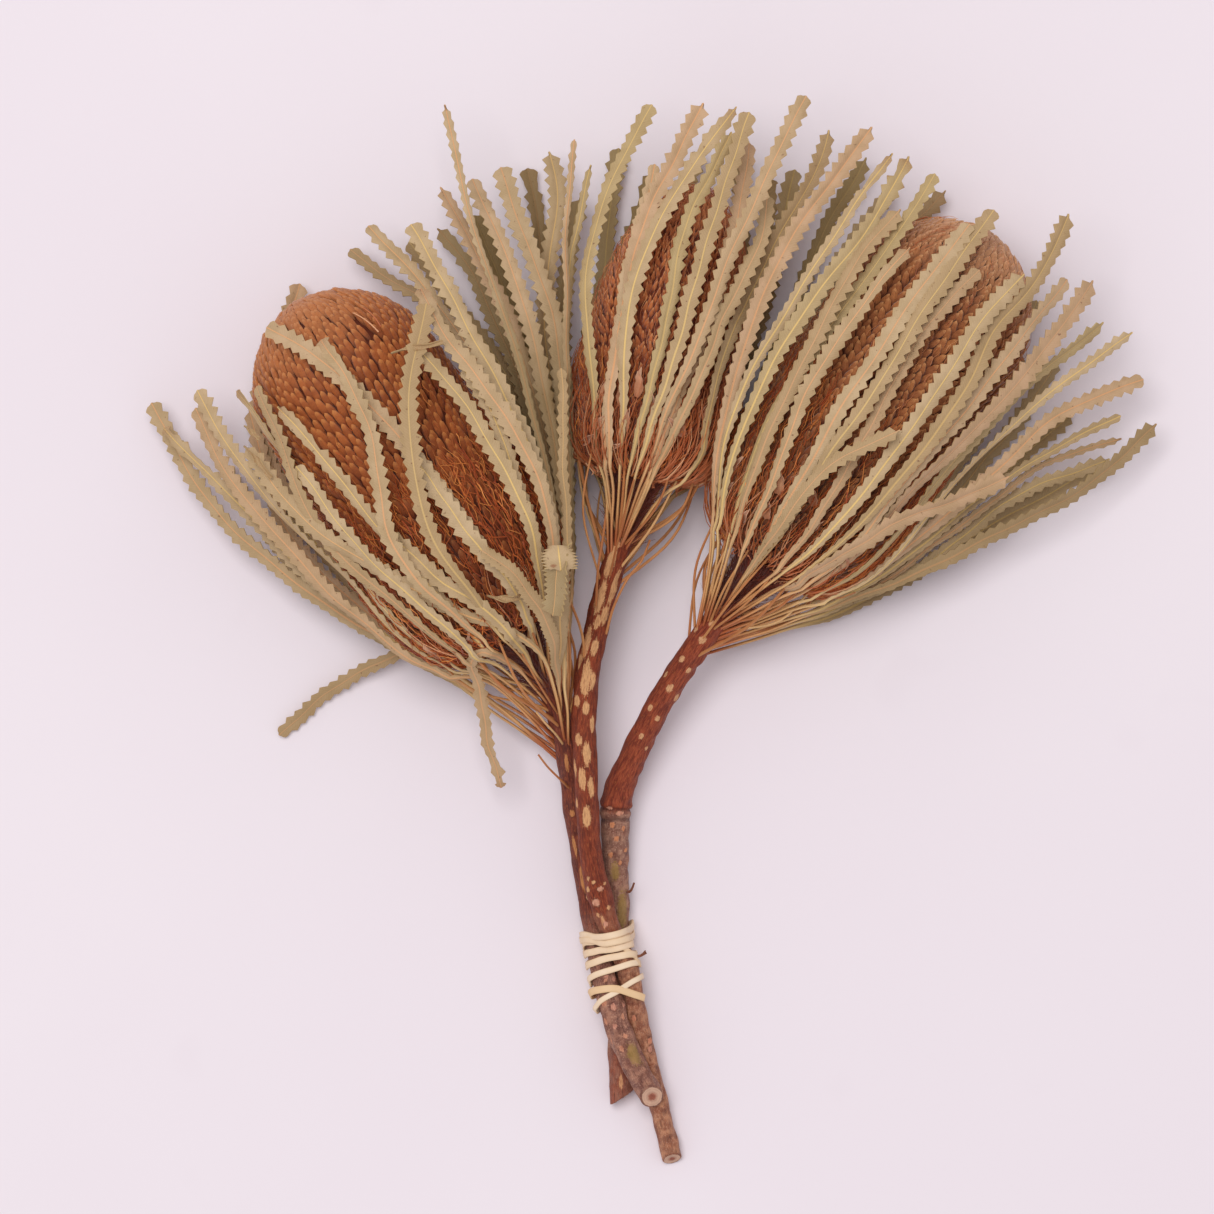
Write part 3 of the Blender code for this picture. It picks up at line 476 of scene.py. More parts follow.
def meshPiece(name, points, faces, tints, finish):
    mesh = bpy.data.meshes.new(name)
    mesh.from_pydata(points.reshape(-1, 3), [], faces)
    layer = mesh.color_attributes.new("floretTint", "FLOAT_COLOR", "POINT")
    layer.data.foreach_set("color", tints.astype(np.float32).ravel())
    mesh.materials.append(finish)
    piece = bpy.data.objects.new(name, mesh)
    bpy.context.scene.collection.objects.link(piece)
    return piece


# many placed copies of one small shape as one mesh; tints is per copy and vertex
def copiesMesh(name, shapePoints, shapeFaces, places, frames, sizes, tints, finish):
    count, size = len(places), len(shapePoints)
    scaled = shapePoints[None] * sizes[:, None]
    points = np.einsum("nvk,nkx->nvx", scaled, frames) + places[:, None]
    faces = [tuple(n * size + corner for corner in face) for n in range(count) for face in shapeFaces]
    return meshPiece(name, points, faces, tints, finish)


# thin tapered hairs along given paths, all in one mesh
def hairsMesh(name, paths, radii, tints, finish, corners=3, thin=0.25):
    count, steps = paths.shape[:2]
    run = unit(np.gradient(paths, axis=1))
    aside = unit(np.cross(run, np.array([0.31, 0.17, 0.93])))
    other = np.cross(aside, run)
    taper = np.linspace(1, thin, steps)[None, :, None]
    rings = []
    for corner in range(corners):
        turn = 2 * math.pi * corner / corners
        out = aside * math.cos(turn) + other * math.sin(turn)
        rings.append(paths + out * radii[:, None, None] * taper)
    points = np.stack(rings, axis=2)
    faces = []
    for n in range(count):
        first = n * steps * corners
        for step in range(steps - 1):
            a = first + step * corners
            for corner in range(corners):
                b = (corner + 1) % corners
                faces.append((a + corner, a + b, a + b + corners, a + corner + corners))
        faces.append(tuple(first + corner for corner in reversed(range(corners))))
        faces.append(tuple(first + (steps - 1) * corners + corner for corner in range(corners)))
    spread = np.repeat(np.repeat(tints[:, None], steps, axis=1)[:, :, None], corners, axis=2)
    return meshPiece(name, points, faces, spread, finish)


# flower heads

heads = {
    "left": dict(
        base=(510, 632), apex=(295, 305), radius=36.6 * mm, baseRatio=0.42, shoulder=0.28, dome=0.73,
        lobe=2.0,
    ),
    "middle": dict(
        base=(637, 470), apex=(699, 187), radius=29.6 * mm, baseRatio=0.55, shoulder=0.26, dome=0.42,
        lobe=1.9,
    ),
    "right": dict(
        base=(765, 560), apex=(991, 236), radius=36.6 * mm, baseRatio=0.42, shoulder=0.28, dome=0.73,
        lobe=2.0,
    ),
}
floretRise = 1.8 * mm
restCut = 0.9 * mm


def headFrame(head):
    axisHeight = (head["radius"] + floretRise - restCut) / mm
    base = place(*head["base"], axisHeight)
    apex = place(*head["apex"], axisHeight)
    length = np.linalg.norm(apex - base)
    return base, (apex - base) / length, length


def headRadius(head, share):
    share = np.clip(share, 0, 1)
    rise = np.sqrt(np.clip(1 - (1 - share / head["shoulder"]) ** 2, 0, 1))
    low = np.where(share < head["shoulder"], head["baseRatio"] + (1 - head["baseRatio"]) * rise, 1)
    past = np.clip((share - head["dome"]) / (1 - head["dome"]), 0, 1)
    return head["radius"] * low * (1 - past ** head["lobe"]) ** (1 / head["lobe"])


# the head's outline as (along, radius, slope directions) by distance walked over it
def headProfile(head):
    _, _, length = headFrame(head)
    share = np.linspace(0, 1, 600) ** 0.9
    share = np.sort(np.concatenate([share, 1 - np.linspace(0, 0.25, 300) ** 2]))
    line = np.column_stack([share * length, headRadius(head, share)])
    far = np.concatenate([[0], np.cumsum(np.linalg.norm(np.diff(line, axis=0), axis=1))])
    keep = np.concatenate([[True], np.diff(far) > 1e-9])
    line, far = line[keep], far[keep]
    slope = unit(np.gradient(line, far, axis=0))
    return far, np.column_stack([line, slope, line[:, 0] / length])


# for distances over the outline and turns round the axis: places and (side, forward, outward) frames
def onHead(head, far, turn):
    base, axis, _ = headFrame(head)
    across = np.cross(axis, up)
    at, rows = headProfile(head)
    row = rowsAt(rows, at, far)
    ring = across * np.cos(turn)[:, None] + up * np.sin(turn)[:, None]
    around = up * np.cos(turn)[:, None] - across * np.sin(turn)[:, None]
    places = base + axis * row[:, :1] + ring * row[:, 1:2]
    forward = axis * row[:, 2:3] + ring * row[:, 3:4]
    outward = np.cross(-around, forward)
    return places, np.stack([-around, forward, outward], axis=1), row


# where on the head's upper side a photo pixel lies: distance over the outline, and turn
def underPixel(head, across, down):
    base, axis, length = headFrame(head)
    reach = place(across, down, base[2] / mm) - base
    along = reach @ axis
    aside = reach @ np.cross(axis, up)
    radius = float(headRadius(head, along / length))
    at, rows = headProfile(head)
    return float(np.interp(along, rows[:, 0], at)), math.acos(max(-1.0, min(1.0, aside / radius)))


# one floret lying along y with its free end at +y: points, faces and the share of the length at each point
def floretShape(look):
    bpy.ops.object.select_all(action="DESELECT")
    bpy.ops.mesh.primitive_uv_sphere_add(segments=look["segments"], ring_count=look["rings"], radius=1)
    ball = bpy.context.object
    bpy.ops.transform.resize(value=(look["width"] / 2, look["height"] / 2, look["length"] / 2))
    bpy.ops.transform.rotate(value=math.pi / 2, orient_axis="X", center_override=(0, 0, 0))
    bpy.ops.object.transform_apply(location=False, rotation=True, scale=True)
    points = np.array([v.co for v in ball.data.vertices])
    faces = [tuple(p.vertices) for p in ball.data.polygons]
    bpy.data.objects.remove(ball, do_unlink=True)
    if points[0, 1] < 0:
        points[:, 1] *= -1
        faces = [face[::-1] for face in faces]
    share = points[:, 1] / look["length"] + 0.5
    narrow = 1 - look["taper"] * (1 - share) - look["point"] * np.clip((share - 0.5) / 0.5, 0, 1)
    points[:, 0] *= narrow
    points[:, 2] *= narrow
    points[:, 2] += look["curl"] * share ** 2
    return points, faces, share


headLooks = {
    "left": dict(
        columns=41, rowStep=5.0 * mm, width=3.8 * mm, length=9.8 * mm, height=2.4 * mm, taper=0.3,
        point=0.12, curl=0.6 * mm, tilt=0.18, sink=0.9 * mm, jitter=0.34, spin=0.12, splay=0.0, drop=0.0,
        segments=6, rings=5, slot="floret_orange",
    ),
    "middle": dict(
        columns=44, rowStep=3.2 * mm, width=2.5 * mm, length=5.8 * mm, height=1.7 * mm, taper=0.3,
        point=0.6, curl=0.7 * mm, tilt=0.3, sink=0.7 * mm, jitter=0.6, spin=0.3, splay=0.08, drop=0.02,
        segments=5, rings=4, slot="floret_rust",
    ),
    "right": dict(
        columns=44, rowStep=4.0 * mm, width=3.9 * mm, length=7.4 * mm, height=2.4 * mm, taper=0.25,
        point=0.3, curl=0.8 * mm, tilt=0.24, sink=0.8 * mm, jitter=0.25, spin=0.10, splay=0.26, drop=0.0,
        segments=5, rings=4, slot="floret_brown",
    ),
}
slit = dict(ends=[(357, 317), (379, 347)], half=1.2 * mm)  # the dark slit near the top of the left head


def buildCore(side):
    head = heads[side]
    at, rows = headProfile(head)
    far = np.linspace(0, at[-1], 60)
    turn = np.linspace(0, -2 * math.pi, 49)
    inset = 1.6 * mm
    points, uvs = [], []
    for distance in far:
        places, frames, _ = onHead(head, np.full(len(turn), distance), turn)
        points.append(places - frames[:, 2] * inset)
        uvs.append(np.column_stack([turn * 10, np.full(len(turn), distance / mm)]))
    base, axis, length = headFrame(head)
    points.insert(0, np.repeat([base + axis * 2 * mm], len(turn), axis=0))
    uvs.insert(0, uvs[0])
    points = np.array(points)
    points[-1] = base + axis * (length - inset)
    # the core takes the florets' dark root tone: painted shade in the gaps between them
    tints = np.zeros(points.shape[:2] + (4,))
    tints[..., 0] = 1
    skins = [finishes["floret" + side.title()]]
    core = gridSheet("core" + side.title(), points, np.array(uvs), {"floretTint": tints}, skins)
    closeSeams(core)
    return core


# staggered rows of florets: distance over the outline, turn, size, and the side that each leans to
def floretPlaces(head, look, draw):
    at, rows = headProfile(head)
    spacing = 2 * math.pi * head["radius"] / look["columns"]
    found, row, far = [], 0, look["rowStep"] * 0.6
    while far < at[-1] - 1.5 * mm:
        radius = float(np.interp(far, at, rows[:, 1]))
        count = look["columns"]
        while 2 * math.pi * radius / count < spacing * 0.62 and count > 6:
            count //= 2
        fit = min(1.25, 2 * math.pi * radius / count / spacing)
        for column in range(count):
            if draw.random() < look["drop"]:
                continue
            turn = 2 * math.pi * (column + 0.5 * (row % 2)) / count
            turn += draw.uniform(-1, 1) * look["jitter"] * 0.35 * spacing / max(radius, spacing)
            over = far + draw.uniform(-1, 1) * look["jitter"] * look["rowStep"] * 0.6
            found.append((min(max(over, 0), at[-1]), turn, fit, 1 if row % 2 else -1))
        far += look["rowStep"] / 2 * (0.62 + 0.38 * min(1, radius / head["radius"]))
        row += 1
    return np.array(found).T


def buildFlorets(side, draw):
    head, look = heads[side], headLooks[side]
    points, faces, share = floretShape(look)
    fars, turns, scales, leanings = floretPlaces(head, look, draw)
    places, frames, rows = onHead(head, fars, turns)
    if side == "left":
        spots = [underPixel(head, *spot) for spot in slit["ends"]]
        start, end = onHead(head, *np.array(spots).T)[0]
        reach = np.clip((places - start) @ (end - start) / ((end - start) @ (end - start)), 0, 1)
        keep = np.linalg.norm(places - start - reach[:, None] * (end - start), axis=1) > slit["half"]
        places, frames, rows, scales, leanings = (
            values[keep] for values in (places, frames, rows, scales, leanings)
        )
    count = len(places)
    own = np.array([[draw.random() for _ in range(5)] for _ in range(count)])
    tilt = look["tilt"] * (0.75 + 0.5 * own[:, 0])
    forward = frames[:, 1] * np.cos(tilt)[:, None] + frames[:, 2] * np.sin(tilt)[:, None]
    outward = frames[:, 2] * np.cos(tilt)[:, None] - frames[:, 1] * np.sin(tilt)[:, None]
    spin = (own[:, 1] - 0.5) * 2 * look["spin"] + look["splay"] * leanings
    aside = frames[:, 0] * np.cos(spin)[:, None] + forward * np.sin(spin)[:, None]
    forward = forward * np.cos(spin)[:, None] - frames[:, 0] * np.sin(spin)[:, None]
    frames = np.stack([aside, forward, outward], axis=1)
    sizes = np.column_stack([scales, 0.55 + 0.45 * scales, 0.5 + 0.5 * scales])
    sizes = sizes * (0.88 + 0.24 * own[:, 2:3])
    places = places - outward * look["sink"] * (0.7 + 0.6 * own[:, 3:4])
    tints = np.ones((count, len(points), 4))
    tints[..., 0] = own[:, 4:5]
    tints[..., 1] = share[None]
    tints[..., 2] = rows[:, 4:5]
    name, finish = "florets" + side.title(), finishes["floret" + side.title()]
    return copiesMesh(name, points, faces, places, frames, sizes, tints, finish)


# curly styles over the florets: count, finish, where up the head they root as shares with a bias to the
# base, length and radius in mm, how high they lie and arch over the florets, and how wild they are
def style(count, finish, span, bias, length, radius, over, lift, wild):
    return dict(
        count=count, finish=finish, span=span, bias=bias, length=length, radius=radius, over=over, lift=lift,
        wild=wild, steps=7 if finish == "Pink" else 5,
    )


fibreLooks = {
    "left": [
        style(2150, "Orange", (0.01, 0.42), 1.2, (6, 14), 0.28, 1.5, 2.8, 0.2),
        style(350, "Orange", (0.01, 0.4), 1.2, (6, 11), 0.26, 2.0, 3.6, 0.8),
        style(300, "Orange", (0.4, 0.6), 1.6, (4, 8), 0.18, 1.2, 1.2, 0.3),
        style(70, "Pink", (0.0, 0.05), 1, (18, 36), 0.3, 1.4, 3.2, 0.14),
    ],
    "middle": [
        style(1380, "Rust", (0.02, 0.95), 1, (4, 8), 0.16, 0.9, 1.6, 0.25),
        style(700, "Orange", (0.01, 0.34), 1.2, (7, 15), 0.22, 1.2, 2.4, 0.34),
        style(260, "Pink", (0.0, 0.04), 1, (20, 46), 0.32, 2.0, 4.6, 0.1),
    ],
    "right": [
        style(1780, "Orange", (0.01, 0.42), 1.2, (7, 16), 0.22, 1.2, 2.2, 0.26),
        style(500, "Rust", (0.3, 0.9), 1.2, (4, 8), 0.16, 0.9, 1.2, 0.3),
        style(160, "Pink", (0.0, 0.05), 1, (18, 40), 0.3, 1.8, 4.0, 0.12),
    ],
}


def fibrePaths(head, fars, turns, reach, sway, lift, steps):
    at, rows = headProfile(head)
    radius = np.maximum(np.interp(fars, at, rows[:, 1]), 6 * mm)
    paths = []
    for step in range(steps):
        t = step / (steps - 1)
        far = np.clip(fars + reach * t, 0, at[-1])
        places, frames, _ = onHead(head, far, turns + sway(t) * reach / radius)
        paths.append(places + frames[:, 2] * lift(t)[:, None])
    return np.stack(paths, axis=1)


def buildFibres(side, look, draw):
    head = heads[side]
    at, _ = headProfile(head)
    count = look["count"]
    own = np.array([[draw.random() for _ in range(9)] for _ in range(count)])
    start, end = look["span"]
    far = at[-1] * (start + (end - start) * own[:, 0] ** look["bias"])
    shortest, longest = look["length"]
    reach = (shortest + (longest - shortest) * own[:, 2]) * mm
    back = np.where(own[:, 8] < 0.15, -1, 1)
    # most of them keep off the underside
    turn = own[:, 1] * 2 * math.pi - 0.5 * math.pi
    turn = 0.5 * math.pi + (turn - 0.5 * math.pi) * (1 - 0.16 * (own[:, 7] < 0.8))
    high = look["lift"] * (0.2 + 0.8 * own[:, 5])
    paths = fibrePaths(
        head, far, turn, reach * back,
        lambda t: look["wild"] * (2 * (own[:, 3] - 0.5) * t + 0.3 * np.sin(own[:, 4] * 6.3 + t * 5)),
        lambda t: (high * math.sin(math.pi * (0.08 + 0.84 * t)) + look["over"]) * mm,
        look["steps"],
    )
    tints = np.zeros((count, 4))
    tints[:, 0] = own[:, 6]
    tints[:, 1] = 0.45 + 0.55 * own[:, 7]
    tints[:, 2] = 0.5
    radii = look["radius"] * mm * (0.7 + 0.6 * own[:, 6])
    return hairsMesh("fibres" + side.title(), paths, radii, tints, finishes["fibre" + look["finish"]])


# two straw fibres in the slit of the left head
def buildStraws():
    head = heads["left"]
    fars, turns = np.array([underPixel(head, *spot) for spot in ((356, 315), (360, 313))]).T
    reach = np.array([12.5, 11.0]) * mm
    paths = fibrePaths(
        head, fars - reach, turns, reach, lambda t: np.array([0.10 * t, -0.16 * t]),
        lambda t: np.array([1.4, 1.8]) * mm * (0.6 + 0.5 * math.sin(3 * t)), 8,
    )
    tints = np.array([[0.1, 0.9, 0.5, 1.0], [0.5, 0.7, 0.5, 1.0]])
    return hairsMesh("straws", paths, np.array([0.34, 0.28]) * mm, tints, finishes["fibrePink"], 5, 0.6)


# papery bracts near the base of each head: pixel across, pixel down, length and width in mm, turn
bracts = {
    "left": [(541, 566, 9, 5, 0.4), (547, 590, 8, 5, -0.5), (470, 640, 8, 4, 0.9), (440, 648, 9, 4, 0.6),
             (530, 560, 8, 4, 0.1)],
    "middle": [(607, 398, 9, 5, 0.5), (624, 402, 10, 5, -0.3), (640, 392, 9, 5, 0.2), (652, 410, 8, 4, -0.6),
               (600, 425, 9, 5, 0.9), (592, 440, 8, 5, 1.3), (690, 398, 10, 6, -0.2), (700, 412, 8, 5, 0.4),
               (678, 430, 9, 5, -0.9), (628, 425, 8, 4, 0.1), (612, 445, 8, 4, 0.8), (668, 395, 8, 4, 0.3)],
    "right": [(738, 470, 9, 5, 0.5), (729, 495, 9, 5, 0.8), (781, 488, 10, 6, -0.2), (797, 480, 8, 5, 0.5),
              (812, 500, 8, 5, -0.7), (745, 520, 9, 5, 0.2), (770, 512, 9, 5, -0.4), (840, 560, 9, 5, -0.9),
              (865, 575, 9, 4, -0.6), (805, 530, 8, 4, 0.3)],
}


def buildBracts(side):
    head = heads[side]
    draw = random.Random(60 + len(side))
    sheets = []
    for across, down, length, width, turn in bracts[side]:
        far, around = underPixel(head, across, down)
        places, frames, _ = onHead(head, np.array([far]), np.array([around]))
        aside, forward, outward = frames[0]
        way = forward * math.cos(turn) + aside * math.sin(turn)
        over = np.cross(way, outward)
        curl, lift = draw.uniform(0.8, 2.0), draw.uniform(1.0, 3.4)
        lean = draw.uniform(-0.3, 0.3)
        rows = []
        for t in np.linspace(0, 1, 9):
            half = width * 0.38 * math.sin(math.pi * (0.14 + 0.8 * t)) ** 0.9 * draw.uniform(0.7, 1.12)
            middle = places[0] + (way * length * (t - 0.3) + outward * (1.6 + lift * t ** 1.4)) * mm
            middle = middle + over * lean * length * t ** 2 * mm
            row = []
            for u in np.linspace(-1, 1, 6):
                rise = curl * (u * u) + 0.35 * math.sin(5 * t + 3 * u + far * 900)
                nib = draw.uniform(-1.0, 2.4) if t == 1 else 0
                row.append(middle + (over * half * u + outward * rise + way * nib) * mm)
            rows.append(row)
        points = np.array(rows)
        tints = np.ones(points.shape[:2] + (4,))
        tints[..., 0] = draw.random()
        tints[..., 1] = np.linspace(0.4, 1, 9)[:, None]
        tints[..., 2] = 0.5
        uvs = np.zeros(points.shape[:2] + (2,))
        sheets.append(gridSheet("bract", points, uvs, {"floretTint": tints}, [finishes["bractPeach"]]))
    bract = joined("bracts" + side.title(), sheets)
    thicken(bract, 0.18 * mm, False)
    return bract


for side in sides:
    draw = random.Random(40 + len(side))
    cone = joined("cone" + side.title(), [buildFlorets(side, draw), buildCore(side)])
    finishPiece(cone, "cone_" + side, headLooks[side]["slot"])
    extras = [buildFibres(side, look, draw) for look in fibreLooks[side]] + [buildBracts(side)]
    if side == "left":
        extras.append(buildStraws())
    fibres = joined("fibres" + side.title(), extras)
    finishPiece(fibres, "cone_" + side, headLooks[side]["slot"])
    print("cone", side, len(cone.data.polygons), "fibres", len(fibres.data.polygons))


# stems

stems = {
    "left": [
        (510, 632, 36.4, 4.6), (531, 660, 33.0, 4.6), (553, 698, 27.0, 4.6), (564, 735, 21.5, 4.6),
        (570, 770, 17.0, 4.5), (575, 808, 14.0, 4.6), (581, 845, 12.2, 4.6), (588, 890, 11.4, 4.6),
        (595.5, 933, 11.6, 4.6), (602, 970, 14.5, 4.6), (613, 1013, 18.2, 4.7), (622, 1040, 18.2, 4.7),
        (635, 1069, 17.6, 4.7), (652, 1099, 17.0, 4.6),
    ],
    "middle": [
        (637, 470, 30.0, 4.8), (627, 515, 31.0, 4.7), (615, 560, 31.8, 4.6), (603, 600, 32.0, 4.5),
        (594, 640, 31.8, 4.6), (586.5, 680, 31.0, 4.7), (584, 720, 29.8, 4.7), (585, 760, 28.0, 4.6),
        (587, 800, 25.7, 4.4), (589.5, 845, 22.9, 4.3), (597, 887, 20.7, 4.4), (611, 933, 19.0, 4.2),
        (627.5, 970, 16.2, 4.2), (635, 1013, 13.5, 4.1), (641, 1040, 11.0, 4.0), (648.5, 1069, 8.8, 3.9),
        (657, 1100, 6.9, 3.8), (664.5, 1130, 5.6, 3.7), (672.5, 1163, 4.5, 3.8),
    ],
    "right": [
        (765, 560, 36.4, 4.8), (738, 592, 35.0, 4.9), (701, 641, 31.0, 5.0), (662, 700, 25.0, 4.9),
        (632, 760, 17.5, 5.2), (617, 800, 13.0, 5.8), (615.5, 850, 9.6, 4.9), (617, 900, 7.6, 4.7),
        (617.5, 933, 7.0, 4.6), (618.5, 970, 6.9, 4.5), (619, 1013, 6.7, 4.5), (620, 1050, 6.2, 4.6),
        (622, 1101, 5.4, 4.6),
    ],
}
stemGap = 0.6 * mm
ringScale = 4.8  # mm round a stem for each radian of turn
stemGrid = dict(step=0.8 * mm, columns=43)
fuzz = dict(wool=1400, stalks=22)
collar = dict(length=17 * mm, radius=11 * mm, fade=1.3)


def stemLine(side, step):
    base, axis, _ = headFrame(heads[side])
    rows = [np.append(place(*point[:3]), point[3] * mm) for point in stems[side]]
    rows[0][:3] = base - axis * stemGap
    return smoothLine(rows, step)


def stemRadius(line, far):
    fade = np.clip(1 - far / collar["length"], 0, 1)
    return line[:, 3] + (collar["radius"] - line[:, 3]) * fade ** collar["fade"]


ringDown = 808  # how far down the photo the swollen ring of the right stem is
# cut: slope of the cut end towards the stem's top and its left side; low: where down the photo the bark
# turns to its lower tones; knobs: pixel down, swell and half length in mm. Marks seen from above are
# (pixel across, pixel down, width, height): pale patches, ringed round scars, pink ones, olive and dark
# areas. Others are drawn at random underneath.
stemLooks = {
    "left": dict(
        cut=(1.0, 0.0), low=(900, 960), under=60, knobs=[(813, 0.3, 3), (1005, 0.3, 5), (1040, 0.3, 5)],
        patches=[
            (572, 813, 5, 7), (605, 1007, 5, 7), (606, 1023, 3, 7), (611, 1042, 3, 8),
            (566, 760, 4, 20), (574, 846, 4, 22), (582, 880, 4, 26),
        ],
        rounds=[(623, 1018, 4, 7), (625, 1037, 5, 6), (622, 1051, 5, 6), (596, 969, 4, 5), (606, 985, 4, 4)],
        pinks=[(607, 981, 5, 6), (614, 983, 5, 5), (614, 1011, 6, 7), (623, 1008, 4, 5), (615, 1028, 5, 5)],
        olives=[(634, 1056, 14, 26)], darks=[(602, 1000, 4, 12)],
    ),
    "middle": dict(
        cut=(0.6, 0.0), low=(900, 960), under=70,
        knobs=[(889, 0.35, 4), (903, 0.3, 4), (1017, 0.3, 4), (1042, 0.35, 4)],
        patches=[
            (611, 561, 9, 28), (614, 588, 7, 30), (600, 597, 9, 28), (605, 615, 8, 15),
            (597, 622, 6, 11), (587, 641, 8, 22), (594.5, 648, 7, 13), (579.6, 662, 4, 12),
            (586, 678, 9, 28), (593, 681, 5, 14), (577, 700, 6, 9), (586, 708, 7, 10),
            (592, 723, 5, 13), (578, 738, 7, 9), (586.5, 752, 8, 17), (575, 769, 4, 13),
            (582, 778, 8, 17), (591, 786, 6, 16), (577, 804, 4, 8), (586.5, 815, 9, 16),
            (621, 532, 9, 24), (603, 923, 5, 10),
        ],
        rounds=[
            (588.7, 889, 6, 6), (588, 878, 4, 5), (594, 882.5, 4, 4), (604, 883, 4, 4),
            (587.5, 899, 4, 5), (608, 907.7, 5, 5), (598, 916, 5, 5), (649, 1042, 7, 7),
            (634, 1019, 6, 6),
        ],
        pinks=[(600, 889, 8, 5), (596.4, 903, 9, 8), (606, 925, 6, 6), (650, 1051, 7, 7)],
        olives=[], darks=[(633, 1014, 5, 6), (648, 1038, 6, 5), (603, 935, 5, 7)],
    ),
    "right": dict(
        cut=(0.0, -0.6), low=(806, 816), under=80, knobs=[(850, 0.25, 5), (826, 0.25, 4)],
        patches=[
            (697, 628, 4, 7), (704, 638, 7, 9), (684, 656, 5, 7), (690, 669, 5, 6), (667, 673, 3, 6),
            (671.5, 686, 6, 9), (677, 697, 6, 8), (652, 705, 5, 7), (659, 716, 5, 6),
            (642.5, 733.5, 4, 7), (648, 746, 3, 5), (722, 607, 5, 8), (712, 622, 4, 7),
            (621, 1085, 4, 16),
        ],
        rounds=[
            (612.5, 824, 5, 6), (623, 827, 5, 6), (616.5, 839, 5, 6), (625, 850, 5, 5),
            (611, 855, 5, 6), (620, 864, 4, 5), (622, 1062, 4, 6),
        ],
        pinks=[(620, 811, 7, 5), (610, 806, 5, 4)],
        olives=[(615, 872, 9, 20), (623, 912, 12, 40)], darks=[(609, 905, 4, 40), (611, 840, 3, 12)],
        redAgain=(1035, 1065),  # where it turns reddish again
    ),
}


# where a photo pixel lies on a stem's upper side: distance down the stem and round it, in mm
def underStem(line, far, across, down):
    spot = place(across, down, 0)[:2]
    nearest = int(np.argmin(np.linalg.norm(line[:, :2] - spot, axis=1)))
    run = tangents(line[:, :3])[nearest]
    aside = unit(np.cross(run, up))
    reach = (spot - line[nearest, :2]) @ aside[:2] / line[nearest, 3]
    return far[nearest] / mm, (2 * math.pi - math.acos(max(-0.98, min(0.98, reach)))) * ringScale


# one mark in the bark: adds to the masks and gives back how far it stands out
def addMark(masks, kind, apart, width, height):
    aroundApart, alongApart = apart
    inside = (aroundApart[None] / (width / 2)) ** 2 + (alongApart[:, None] / (height / 2)) ** 2
    if kind in ("olives", "darks"):
        name = kind[:-1]
        masks[name] = np.maximum(masks[name], np.exp(-0.8 * inside))
        return 0
    own = np.exp(-0.85 * inside) * (1.2 if kind == "patches" else 1.05)
    masks["scar"] = np.maximum(masks["scar"], own)
    if kind == "patches":
        return 0.08 * mm * own
    masks["ring"] = np.maximum(masks["ring"], np.exp(-((np.sqrt(inside) - 1.15) / 0.25) ** 2))
    masks["pink"] = np.maximum(masks["pink"], own * (kind == "pinks"))
    return 0.32 * mm * own


def markStem(side, look, line, along, around, down, draw):
    masks = {name: np.zeros((len(along), len(around))) for name in ("scar", "olive", "ring", "dark", "pink")}
    rise = np.zeros_like(masks["scar"])
    for kind in ("patches", "rounds", "pinks", "olives", "darks"):
        longer = pixel / mm * (1.3 if kind == "patches" and side == "middle" else 1)
        for across, markDown, width, height in look[kind]:
            middle, where = underStem(line, along * mm, across, markDown)
            apart = around - where, along - middle
            rise += addMark(masks, kind, apart, width * pixel / mm, height * longer)
    for number in range(look["under"]):
        middle = 25 + (along[-1] - 30) * (number + draw.random()) / look["under"]
        where = (math.pi * draw.choice((0.5, 2.1)) + draw.uniform(0, 0.4 * math.pi)) * ringScale
        kind = "rounds" if np.interp(middle, along, down) > look["low"][0] else "patches"
        size = draw.uniform(1.2, 2.4)
        apart = around - where, along - middle
        rise += addMark(masks, kind, apart, size, size * (1.2 if kind == "rounds" else 2.4))
    return masks, rise


def stemBumps(side, look, along, around, turn, down, masks, draw):
    bumps = np.zeros((len(along), len(turn)))
    for _ in range(16):
        waves, period = draw.randint(1, 6), draw.uniform(5, 26)
        phase = draw.uniform(0, 6.3)
        bumps += 0.05 * mm * np.sin(waves * turn[None] + along[:, None] / period * 6.3 + phase)
    for _ in range(90):
        middle, where = draw.uniform(20, along[-1]), draw.uniform(around.min(), around.max())
        size, height = draw.uniform(0.5, 1.6), draw.uniform(-0.2, 0.22)
        inside = ((around[None] - where) / size) ** 2 + ((along[:, None] - middle) / (size * 1.8)) ** 2
        bumps += height * mm * np.exp(-inside)
    bumps[:, -1] = bumps[:, 0]
    bumps *= (0.3 + 0.7 * smooth(along[-1] - along, 0.5, 5))[:, None]
    for knobDown, swell, reach in look["knobs"]:
        middle = np.interp(knobDown, down, along)
        bumps += swell * mm * np.exp(-((along - middle) / reach) ** 2)[:, None]
    if side == "right":
        ringAt = np.interp(ringDown, down, along)
        for shift, swell, reach in ((-1.6, 0.5, 1.2), (0.2, -0.5, 0.6), (2.0, 0.45, 1.2), (4.4, -0.3, 0.7)):
            wavy = ringAt + shift + 0.5 * np.sin(turn * 2 + 1)
            ring = np.exp(-((along[:, None] - wavy[None]) / reach) ** 2)
            bumps += swell * mm * ring
            # the grooves are darkened too: painted shade in them
            if swell < 0:
                masks["dark"] = np.maximum(masks["dark"], ring)
    return bumps


